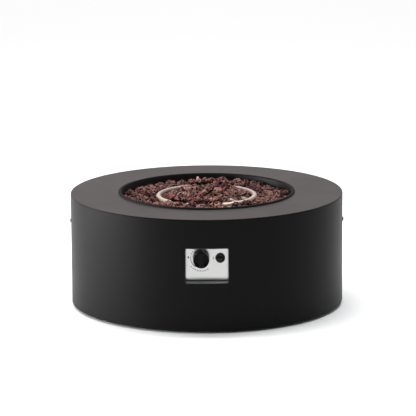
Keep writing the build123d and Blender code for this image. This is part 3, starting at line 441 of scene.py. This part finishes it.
def moulded_material(name, colour, roughness, sheen, grain, dust):
    """Moulded plastic, rubber, glaze or ink with a fine skin and a trace of dust."""
    material, tree, shader = new_material(name)
    skin = place_group(tree, "Coat Grain", Grain=1 / grain, Mottle=40.0)
    settled = place_group(tree, "Settled Dust", Amount=dust, Patch=120.0)
    body = vary_colour(tree, skin.outputs["Mottle"], colour, darkest=0.85, palest=1.15)
    dust_colour = tuple(bpy.context.scene.firepit_control.dust)
    tree.links.new(mix_colour(tree, settled.outputs["Mask"], body, dust_colour), shader.inputs["Base Color"])
    vary_roughness(tree, shader, skin.outputs["Mottle"], roughness, swing=0.05)
    shader.inputs["Specular IOR Level"].default_value = sheen
    bump(tree, shader, skin.outputs["Height"], strength=0.25, distance=grain * SKIN_DEPTH)
    return material


# Colours of the rocks by their tone, from the darkest rock to the palest
ROCK_TONES = ((0.0, "violet"), (0.3, "brown"), (0.62, "red"), (0.85, "brown"), (1.0, "ash"))
# Less ash where painted shade lies
ASH_LOST_IN_SHADE = -0.35
PORES_PER_WIDTH = 0.9
# How fully, and how dark, the painted shade in the pores, pits and undersides is
PORE_COVER = 0.97
PORE_SHADE = 0.06


def rock_material(name, settings, light):
    """Porous lava rock: each rock has its own tone and ashy high spots, with painted shade in its pores, pits
    and undersides; a light below one makes a copy in painted shade.
    """
    material, tree, shader = new_material(name)
    point = object_point(tree)
    tone = add_node(tree, "ShaderNodeAttribute", attribute_name="rock_tone").outputs["Fac"]
    painted_shade = add_node(tree, "ShaderNodeAttribute", attribute_name="rock_hollow").outputs["Fac"]
    ramp = add_node(tree, "ShaderNodeValToRGB", {"Fac": tone})
    elements = ramp.color_ramp.elements
    for place, _ in ROCK_TONES[1:-1]:
        elements.new(place)
    for element, (place, colour) in zip(elements, ROCK_TONES):
        element.position = place
        element.color = (*shade(getattr(settings, colour), light), 1)
    patch = noise_mask(tree, point, scale=160.0, Detail=6.0, Roughness=0.65)
    peak = add_node(
        tree, "ShaderNodeMath", {0: painted_shade, 1: ASH_LOST_IN_SHADE, 2: patch}, operation="MULTIPLY_ADD"
    )
    ashy = ramp_mask(tree, peak.outputs["Value"], low=0.53, high=0.78, to_high=0.9)
    body = mix_colour(tree, ashy, ramp.outputs["Color"], shade(settings.ash, light))
    cells = add_node(
        tree, "ShaderNodeTexVoronoi", {"Vector": point, "Scale": PORES_PER_WIDTH / settings.pore}
    )
    # Painted shade: open pores, pits and undersides turn to a near-black pore colour
    open_pore = ramp_mask(tree, cells.outputs["Distance"], low=0.3, high=0.46, to_low=1.0, to_high=0.0)
    pore_shade_mask = calculate(tree, "MAXIMUM", open_pore, painted_shade)
    dark = ramp_mask(tree, pore_shade_mask, to_high=PORE_COVER)
    pore_shade_colour = shade(settings.violet, PORE_SHADE)
    tree.links.new(mix_colour(tree, dark, body, pore_shade_colour), shader.inputs["Base Color"])
    vary_roughness(tree, shader, patch, middle=0.89, swing=0.09)
    shader.inputs["Specular IOR Level"].default_value = 0.05
    fine = noise_mask(tree, point, scale=900.0, Detail=5.0)
    bump(tree, shader, calculate(tree, "SUBTRACT", fine, open_pore), strength=0.7, distance=0.0012)
    return material


def dress(material, *nodes):
    """Give CAD nodes their finish."""
    for node in nodes:
        slots = NODES[node].data.materials
        slots.clear()
        slots.append(material)


def new_piece(name, mesh, body, material):
    """A new piece that rides on a body."""
    piece = bpy.data.objects.new(name, mesh)
    bpy.context.scene.collection.objects.link(piece)
    mesh.materials.append(material)
    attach(piece, body)
    return piece


def bridge(build, rings):
    """Join a row of rings into a closed bar."""
    sides = len(rings[0])
    for here, there in zip(rings, rings[1:]):
        for i in range(sides):
            j = (i + 1) % sides
            build.faces.new((here[i], here[j], there[j], there[i]))
    build.faces.new(rings[0][::-1])
    build.faces.new(rings[-1])


def finished_mesh(build, name):
    """Turn a build into a mesh with its faces outward."""
    bmesh.ops.recalc_face_normals(build, faces=build.faces)
    mesh = bpy.data.meshes.new(name)
    build.to_mesh(mesh)
    build.free()
    return mesh


# How much coarser the bowl's coat is than the drum's
BOWL_COARSENESS = 1.6


class FIREPIT_OT_coat_drum(bpy.types.Operator):
    """Spray the drum, the top ring, the bowl and the control recess, and blacken the side bolts."""

    bl_idname = "firepit.coat_drum"
    bl_label = "Coat drum"

    def execute(self, context):
        coat = context.scene.firepit_coat
        metal = context.scene.firepit_metal
        black = tuple(coat.colour)
        satin = sprayed_material("powder_coat", black, coat.roughness, coat.sheen, coat.grain, height=0.00012)
        dress(satin, "drum_shell", "top_ring")
        dress(bowl_material(tuple(coat.bowl_colour), coat.grain * BOWL_COARSENESS), "fire_bowl")
        dress(recess_material(black, tuple(metal.sill)), "control_box")
        oxide = sprayed_material(
            "black_oxide", tuple(metal.oxide), roughness=0.36, sheen=0.4, grain=0.0006, height=0.00003
        )
        dress(oxide, "side_bolts")
        return {"FINISHED"}


class FIREPIT_OT_finish_burner(bpy.types.Operator):
    """Finish the ring burner, the hood and the igniter's parts under it."""

    bl_idname = "firepit.finish_burner"
    bl_label = "Finish burner"

    def execute(self, context):
        metal = context.scene.firepit_metal
        control = context.scene.firepit_control
        fine = 1 / metal.brush_lines
        dress(burner_material(tuple(metal.burner), tuple(metal.burner_dark)), "burner_ring")
        hood = brushed_material("hood_steel", tuple(metal.hood), roughness=0.33, pitch=(30, fine, fine))
        dress(hood, "igniter_hood", "sensor_bracket", "thermocouple", "electrode_rod")
        glaze = moulded_material(
            "glazed_ceramic", tuple(control.ceramic), roughness=0.18, sheen=0.5, grain=0.002, dust=0.1
        )
        dress(glaze, "electrode")
        return {"FINISHED"}


class FIREPIT_OT_finish_gas_parts(bpy.types.Operator):
    """Finish the rail, the heat shield, the gas line, the leads and the fasteners."""

    bl_idname = "firepit.finish_gas_parts"
    bl_label = "Finish gas parts"

    def execute(self, context):
        metal = context.scene.firepit_metal
        control = context.scene.firepit_control
        drawn = (300, 40, 300)
        zinc = brushed_material("zinc_plate", tuple(metal.zinc), roughness=0.4, pitch=(90, 90, 90))
        dress(zinc, "burner_riser", "riser_nuts", "bowl_rail", "side_bolt_nuts", "valve_stem")
        dress(zinc, "heat_shield", "shield_standoffs", "shield_screws", "hood_screws", "panel_screws")
        dress(zinc, "valve_screws", "foot_screws", "foot_nuts")
        brass = brushed_material("machined_brass", tuple(metal.brass), roughness=0.27, pitch=(400, 60, 400))
        dress(brass, "gas_jet", "tube_nuts", "gas_valve", "inlet_fitting", "valve_plunger")
        aluminium = brushed_material("drawn_aluminium", tuple(metal.aluminium), roughness=0.35, pitch=drawn)
        dress(aluminium, "air_mixer", "gas_tube")
        copper = brushed_material("drawn_copper", tuple(metal.copper), roughness=0.32, pitch=drawn)
        dress(copper, "thermocouple_lead")
        sleeve = moulded_material(
            "silicone_sleeve", tuple(control.sleeve), roughness=0.45, sheen=0.4, grain=0.001, dust=0.1
        )
        dress(sleeve, "igniter_lead")
        cell = brushed_material("cell_can", tuple(metal.cell), roughness=0.35, pitch=(200, 20, 200))
        dress(cell, "battery")
        return {"FINISHED"}


SPRINGS = {
    "stem_spring": {"joint": "knob_push", "turns": 5, "wire": 0.001},
    "button_spring": {"joint": "igniter_push", "turns": 4, "wire": 0.0009},
}
RINGS_PER_TURN = 40
WIRE_SIDES = 10


def coil_mesh(name, low, high, turns, wire):
    """A coil spring along Y that fills a box: one round wire with closed ends."""
    centre = (low + high) / 2
    reach = (high.x - low.x - wire) / 2
    rise = (high.y - low.y - wire) / turns
    spots = [math.tau * i / WIRE_SIDES for i in range(WIRE_SIDES)]
    build = bmesh.new()
    rings = []
    for i in range(turns * RINGS_PER_TURN + 1):
        turn = math.tau * i / RINGS_PER_TURN
        out = Vector((math.cos(turn), 0, math.sin(turn)))
        along = Vector((-math.sin(turn), rise / (math.tau * reach), math.cos(turn))).normalized()
        side = along.cross(out)
        axis = Vector((centre.x, low.y + wire / 2 + rise * i / RINGS_PER_TURN, centre.z))
        middle = axis + out * reach
        ring = [middle + (out * math.cos(spot) + side * math.sin(spot)) * wire / 2 for spot in spots]
        rings.append([build.verts.new(point) for point in ring])
    bridge(build, rings)
    mesh = finished_mesh(build, name)
    mesh.polygons.foreach_set("use_smooth", [True] * len(mesh.polygons))
    return mesh


class FIREPIT_OT_wind_springs(bpy.types.Operator):
    """Wind the springs of the knob and the button as fixed coils that fill the CAD springs' boxes."""

    bl_idname = "firepit.wind_springs"
    bl_label = "Wind springs"

    def execute(self, context):
        metal = context.scene.firepit_metal
        bright = brushed_material("spring_wire", tuple(metal.spring), roughness=0.28, pitch=(500, 500, 500))
        for node, spring in SPRINGS.items():
            low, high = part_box(node)
            mesh = coil_mesh(f"{node}_wire", low, high, spring["turns"], spring["wire"])
            piece = new_piece(f"{node}_wire", mesh, "root", bright)
            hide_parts(node)
            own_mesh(piece)
        return {"FINISHED"}


class FIREPIT_OT_finish_controls(bpy.types.Operator):
    """Finish the panel, the knob, the igniter and the rubber parts."""

    bl_idname = "firepit.finish_controls"
    bl_label = "Finish controls"

    def execute(self, context):
        metal = context.scene.firepit_metal
        control = context.scene.firepit_control
        fine = 1 / metal.brush_lines
        panel = brushed_material(
            "panel_steel", tuple(metal.steel), roughness=0.2, pitch=(12, fine, fine), anisotropy=0.2
        )
        dress(panel, "control_panel")
        knob = moulded_material(
            "knob_plastic", tuple(control.knob), roughness=0.26, sheen=0.08, grain=0.0008, dust=0.004
        )
        dress(knob, "control_knob")
        gloss = moulded_material(
            "button_plastic", tuple(control.button), roughness=0.1, sheen=0.16, grain=0.003, dust=0.004
        )
        dress(gloss, "igniter_cap", "igniter_button")
        body = moulded_material(
            "igniter_plastic", tuple(control.knob), roughness=0.4, sheen=0.4, grain=0.0008, dust=0.02
        )
        dress(body, "igniter_housing", "igniter_nut")
        rubber = moulded_material(
            "rubber", tuple(control.rubber), roughness=0.7, sheen=0.3, grain=0.0009, dust=0.12
        )
        dress(rubber, "feet", "hose_trim")
        return {"FINISHED"}


# The print stands just off the panel
INK_BACK = PANEL_FRONT - 0.00002
INK_FACE = INK_BACK - 0.00006
# Angles in degrees, counter-clockwise from the right, seen from the front
ARC_ENDS = (166, 238)
DOT_ANGLES = (128, 143, 157)
DOT_REACH = 2.2
TICK_ANGLES = range(222, 300, 11)
TICK_REACH = 2
ARC_STEPS = 36
SHORT_STEPS = 2
# Widths of the dial's marks and the ticks' distance from its arc, in line widths
ARC_WIDTHS = (0.5, 1.6)
DOT_WIDTH = 1.8
TICK_WIDTH = 2
TICK_OFFSET = 5.2
# Places and outlines of the two signs in metres
FLAME_PLACE = KNOB + Vector((-0.0368, 0, 0.0025))
FLAME = (
    (-0.0012, -0.0036), (0.0012, -0.0036), (0.0023, -0.0018), (0.0021, 0.0002), (0.0008, 0.0022),
    (0.0, 0.0042), (-0.0011, 0.0016), (-0.0022, 0.0), (-0.0023, -0.002),
)
SPARK_PLACE = IGNITER + Vector((-0.0203, 0, -0.001))
SPARK = (
    (-0.0009, -0.0065), (0.0021, 0.0012), (0.0004, 0.0012), (0.0015, 0.0068), (-0.0018, -0.0008),
    (0.0, -0.0008),
)


def print_arc(build, radius, widths, angles, steps):
    """Add a thin printed arc around the knob, which can taper."""
    rings = []
    for i in range(steps + 1):
        turn = math.radians(angles[0] + (angles[1] - angles[0]) * i / steps)
        way = Vector((math.cos(turn), 0, math.sin(turn)))
        width = widths[0] + (widths[1] - widths[0]) * i / steps
        rings.append([
            build.verts.new(Vector((KNOB.x, y, KNOB.z)) + way * (radius + side * width / 2))
            for side, y in ((-1, INK_FACE), (1, INK_FACE), (1, INK_BACK), (-1, INK_BACK))
        ])
    bridge(build, rings)


def print_sign(build, centre, outline):
    """Add a thin printed sign on the panel from its outline."""
    bridge(build, [
        [build.verts.new((centre.x + x, y, centre.z + z)) for x, z in outline] for y in (INK_FACE, INK_BACK)
    ])


class FIREPIT_OT_print_dial(bpy.types.Operator):
    """Print the plain dial and a flame beside the knob, and a spark beside the igniter."""

    bl_idname = "firepit.print_dial"
    bl_label = "Print dial"

    def execute(self, context):
        control = context.scene.firepit_control
        radius, line = control.dial_radius, control.dial_line
        dot, tick = DOT_WIDTH * line, TICK_WIDTH * line
        build = bmesh.new()
        print_arc(build, radius, [width * line for width in ARC_WIDTHS], ARC_ENDS, ARC_STEPS)
        for turn in DOT_ANGLES:
            print_arc(build, radius, (dot, dot), (turn - DOT_REACH, turn + DOT_REACH), SHORT_STEPS)
        for turn in TICK_ANGLES:
            ends = (turn - TICK_REACH, turn + TICK_REACH)
            print_arc(build, radius + TICK_OFFSET * line, (tick, tick), ends, SHORT_STEPS)
        print_sign(build, FLAME_PLACE, FLAME)
        print_sign(build, SPARK_PLACE, SPARK)
        ink = moulded_material(
            "panel_ink", tuple(control.ink), roughness=0.5, sheen=0.4, grain=0.001, dust=0.0
        )
        new_piece("dial_print", finished_mesh(build, "dial_print"), "root", ink)
        return {"FINISHED"}


ROCK_PIECES = 8
CORNER_SHARPNESS = 14
# Painted shade: the fill between the rocks is the rock colour at this share of its brightness
BED_PAINTED_SHADE = 0.15
LUMP_WIDTH = 2.1
LUMP_NOISE = (0.5, 2.3, 4)
PIT_REACH = 0.55
PIT_CURVE = 0.8


def loose_solids(node):
    """Each closed solid of a CAD node as its corner points and its outward planes."""
    build = bmesh.new()
    build.from_mesh(NODES[node].data)
    bmesh.ops.remove_doubles(build, verts=build.verts, dist=1e-6)
    build.normal_update()
    seen = set()
    solids = []
    for seed in build.verts:
        if seed.index in seen:
            continue
        seen.add(seed.index)
        queue, corners, faces = [seed], [], {}
        while queue:
            vert = queue.pop()
            corners.append(vert.co.copy())
            for face in vert.link_faces:
                faces[face.index] = (tuple(face.normal), face.verts[0].co.copy())
            for edge in vert.link_edges:
                other = edge.other_vert(vert)
                if other.index not in seen:
                    seen.add(other.index)
                    queue.append(other)
        solids.append((corners, list(faces.values())))
    build.free()
    return solids


def unit_sphere(detail):
    """Directions and triangles of a subdivided icosahedron."""
    build = bmesh.new()
    bmesh.ops.create_icosphere(build, subdivisions=detail, radius=1)
    points = np.array([tuple(vert.co.normalized()) for vert in build.verts])
    faces = np.array([[vert.index for vert in face.verts] for face in build.faces])
    build.free()
    return points, faces


def rounded_reach(directions, planes, centre):
    """How far a faceted rock reaches from its centre in each direction, with its edges rounded."""
    unique = {}
    for normal, corner in planes:
        unique[tuple(round(n, 2) for n in normal)] = (normal, (corner - centre).dot(Vector(normal)))
    normals = np.array([normal for normal, _ in unique.values()])
    offsets = np.array([offset for _, offset in unique.values()])
    facing = np.clip(directions @ normals.T / offsets, 0, None)
    return (facing**CORNER_SHARPNESS).sum(1) ** (-1 / CORNER_SHARPNESS)


def weathered(points, rock, pore, shift):
    """Lumps and pores of a rock: a factor on each point's reach, and how deep in a pore it lies, which is
    painted as shade.
    """
    factors, painted_shades = [], []
    for point in points:
        spot = Vector(point) + shift
        lumps = noise.fractal(spot / (pore * LUMP_WIDTH), *LUMP_NOISE)
        near = noise.voronoi(spot / pore)[0][0]
        pit = max(0.0, 1 - near / PIT_REACH) ** PIT_CURVE
        factors.append(1 + rock.lumps * lumps - rock.pits * pit)
        # Painted shade: deepest in the pits, none on the lumps
        painted_shades.append(max(-1.0, min(1.0, pit - lumps)))
    return np.array(factors), np.array(painted_shades)


class FIREPIT_OT_weather_rocks(bpy.types.Operator):
    """Turn each plain rock into a porous one in the same place."""

    bl_idname = "firepit.weather_rocks"
    bl_label = "Weather rocks"

    def execute(self, context):
        rock = context.scene.firepit_rock
        draw = random.Random(rock.seed)
        directions, triangles = unit_sphere(rock.detail)
        stone = rock_material("lava_rock", rock, light=1.0)
        # The fill between the rocks gets a darker copy of the rock colour: painted shade
        dress(rock_material("lava_bed", rock, light=BED_PAINTED_SHADE), "lava_fill")
        solids = loose_solids("lava_rocks")
        share = math.ceil(len(solids) / ROCK_PIECES)
        places = [sum(corners, Vector()) / len(corners) for corners, _ in solids]
        dark = min(range(len(places)), key=lambda i: (places[i] - Vector(rock.dark_place)).length)
        points, faces, tones, painted_shades = [], [], [], []
        for number, (corners, planes) in enumerate(solids):
            centre = places[number]
            heaped = math.hypot(centre.x, centre.y) < rock.heap_radius
            on_ring = min(corner.z for corner in corners) > RING_TOP
            in_mound = centre.y < rock.front_line and centre.x < rock.front_end
            swell = rock.swell if heaped else rock.rim_swell
            if in_mound:
                swell = rock.front_swell
            if on_ring:
                swell = rock.ring_swell
            if number == dark:
                swell = rock.dark_swell
            reach = rounded_reach(directions, planes, centre) * swell
            body = directions * reach[:, None]
            shift = Vector((draw.uniform(-1, 1), draw.uniform(-1, 1), draw.uniform(-1, 1)))
            pore = rock.pore * min(1, reach.mean() / rock.full_reach)
            factor, painted_shade = weathered(body, rock, pore, shift)
            faces.append(triangles + sum(map(len, points)))
            points.append(body * factor[:, None] + np.array(centre))
            palest = 1.0 if heaped or in_mound else rock.rim_tone
            tone = 0.0 if number == dark else draw.random() * palest
            tones += [tone] * len(directions)
            # Painted shade: each rock darkens below a shade line, which sits higher on the outer rocks
            underside_shade_line = rock.underside_shade_line if heaped else rock.rim_underside_shade_line
            underside_shade = np.clip(rock.underside_shade * (underside_shade_line - directions[:, 2]), 0, 1)
            painted_shades += list(np.maximum(painted_shade, underside_shade))
            if len(points) == share or number == len(solids) - 1:
                self.add_rocks(number // share + 1, points, faces, tones, painted_shades, stone)
                points, faces, tones, painted_shades = [], [], [], []
        return {"FINISHED"}

    def add_rocks(self, number, points, faces, tones, painted_shades, stone):
        """Make one piece of a batch of rocks."""
        mesh = bpy.data.meshes.new(f"lava_rocks_{number}")
        mesh.from_pydata(np.concatenate(points).tolist(), [], np.concatenate(faces).tolist())
        for name, values in (("rock_tone", tones), ("rock_hollow", painted_shades)):
            mesh.attributes.new(name, "FLOAT", "POINT").data.foreach_set("value", values)
        piece = new_piece(f"lava_rocks_{number}", mesh, "root", stone)
        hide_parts("lava_rocks")


FLOOR_SIZE = 80
SENSOR_WIDTH = 36
CLIP_END = 200
LIGHTS = {
    "left_softbox": {"place": (-3.2, -0.3, 0.45), "aim": (0, 0, 0.3), "size": (3.4, 0.8)},
    "top_softbox": {"place": (0, 0.15, 3.4), "aim": (0, 0.15, 0.3), "size": (3.0, 0.3)},
    "back_softbox": {"place": (0, 7.5, 3.5), "aim": (0, 7.5, 0), "size": (6.0, 3.0)},
    "front_light": {"place": (0.4, -3.2, 3.2), "aim": (0, 0, 0.3), "size": (0.36, 0.36)},
}
# Directions between which the sky changes
SKY_BEHIND = (-0.6, 0.6)
SKY_RIGHT = (0.0, 0.45)
SKY_HIGH = (0.4, 0.7)


def lay_floor(colour):
    """The plain floor, which isn't part of the object."""
    bpy.ops.mesh.primitive_plane_add(size=FLOOR_SIZE, location=(0, 0, 0))
    floor = bpy.context.object
    floor.name = "floor"
    material, _, shader = new_material("studio_floor")
    shader.inputs["Base Color"].default_value = (*colour, 1)
    shader.inputs["Roughness"].default_value = 0.9
    shader.inputs["Specular IOR Level"].default_value = 0.1
    floor.data.materials.append(material)


def paint_sky(scene, stage):
    """Soft light from all round, strongest from behind and dimmer at the right."""
    scene.world = bpy.data.worlds.new("studio")
    scene.world.use_nodes = True
    sky = scene.world.node_tree
    direction = sky.nodes.new("ShaderNodeTexCoord").outputs["Generated"]
    way = add_node(sky, "ShaderNodeSeparateXYZ", {"Vector": direction})
    behind = ramp_mask(sky, way.outputs["Y"], *SKY_BEHIND, interpolation_type="SMOOTHSTEP")
    right = ramp_mask(sky, way.outputs["X"], *SKY_RIGHT, to_low=1.0, to_high=stage.sky_right)
    high = ramp_mask(sky, way.outputs["Z"], *SKY_HIGH, interpolation_type="SMOOTHSTEP")
    back = mix_colour(sky, high, tuple(stage.sky_back), tuple(stage.sky_high))
    glow = calculate(sky, "MULTIPLY", behind, right)
    colour = mix_colour(sky, glow, tuple(stage.sky_front), back)
    sky.links.new(colour, sky.nodes["Background"].inputs["Color"])


def hang_light(scene, name, power, place, aim, size):
    """A softbox that points at a place."""
    data = bpy.data.lights.new(name, "AREA")
    data.shape = "RECTANGLE"
    data.size, data.size_y = size
    data.energy = power
    light = bpy.data.objects.new(name, data)
    light.location = place
    light.rotation_euler = (Vector(aim) - Vector(place)).to_track_quat("-Z", "Y").to_euler()
    scene.collection.objects.link(light)


def set_camera(scene, stage):
    """The camera at the photo's viewing angle."""
    data = bpy.data.cameras.new("photo_camera")
    data.lens = stage.lens
    data.sensor_width = SENSOR_WIDTH
    data.clip_end = CLIP_END
    camera = bpy.data.objects.new("photo_camera", data)
    look = (Vector(stage.target) - Vector(stage.camera)).to_track_quat("-Z", "Y")
    turned = look.to_matrix().to_4x4() @ Matrix.Rotation(-stage.roll, 4, "Z")
    camera.matrix_world = Matrix.Translation(Vector(stage.camera)) @ turned
    scene.collection.objects.link(camera)
    scene.camera = camera


class FIREPIT_OT_build_stage(bpy.types.Operator):
    """Lay the floor, hang the lights and set the camera."""

    bl_idname = "firepit.build_stage"
    bl_label = "Build stage"

    def execute(self, context):
        scene = context.scene
        stage = scene.firepit_stage
        lay_floor(tuple(stage.floor))
        paint_sky(scene, stage)
        powers = {
            "left_softbox": stage.left_power,
            "top_softbox": stage.top_power,
            "back_softbox": stage.back_power,
            "front_light": stage.front_power,
        }
        for name, light in LIGHTS.items():
            hang_light(scene, name, powers[name], **light)
        set_camera(scene, stage)
        scene.view_settings.view_transform = "Standard"
        return {"FINISHED"}


class FIREPIT_PT_sidebar(bpy.types.Panel):
    """Lists the fire pit's operators."""

    bl_idname = "FIREPIT_PT_sidebar"
    bl_label = "Fire Pit"
    bl_space_type = "VIEW_3D"
    bl_region_type = "UI"
    bl_category = "Fire Pit"

    def draw(self, context):
        for operator in OPERATORS:
            self.layout.operator(operator.bl_idname)


SETTINGS = {
    "firepit_coat": CoatSettings,
    "firepit_rock": RockSettings,
    "firepit_metal": MetalSettings,
    "firepit_control": ControlSettings,
    "firepit_stage": StageSettings,
}
OPERATORS = (
    FIREPIT_OT_coat_drum,
    FIREPIT_OT_finish_burner,
    FIREPIT_OT_finish_gas_parts,
    FIREPIT_OT_wind_springs,
    FIREPIT_OT_finish_controls,
    FIREPIT_OT_print_dial,
    FIREPIT_OT_weather_rocks,
    FIREPIT_OT_build_stage,
)


def register():
    """Register the settings, the operators and the panel."""
    for name, settings in SETTINGS.items():
        bpy.utils.register_class(settings)
        setattr(bpy.types.Scene, name, PointerProperty(type=settings))
    for operator in OPERATORS:
        bpy.utils.register_class(operator)
    bpy.utils.register_class(FIREPIT_PT_sidebar)


def unregister():
    """Take the panel, the operators and the settings out again."""
    bpy.utils.unregister_class(FIREPIT_PT_sidebar)
    for operator in reversed(OPERATORS):
        bpy.utils.unregister_class(operator)
    for name, settings in reversed(SETTINGS.items()):
        delattr(bpy.types.Scene, name)
        bpy.utils.unregister_class(settings)


def main():
    """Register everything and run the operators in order."""
    register()
    bpy.ops.firepit.coat_drum()
    bpy.ops.firepit.finish_burner()
    bpy.ops.firepit.finish_gas_parts()
    bpy.ops.firepit.wind_springs()
    bpy.ops.firepit.finish_controls()
    bpy.ops.firepit.print_dial()
    bpy.ops.firepit.weather_rocks()
    bpy.ops.firepit.build_stage()


if __name__ == "__main__":
    main()
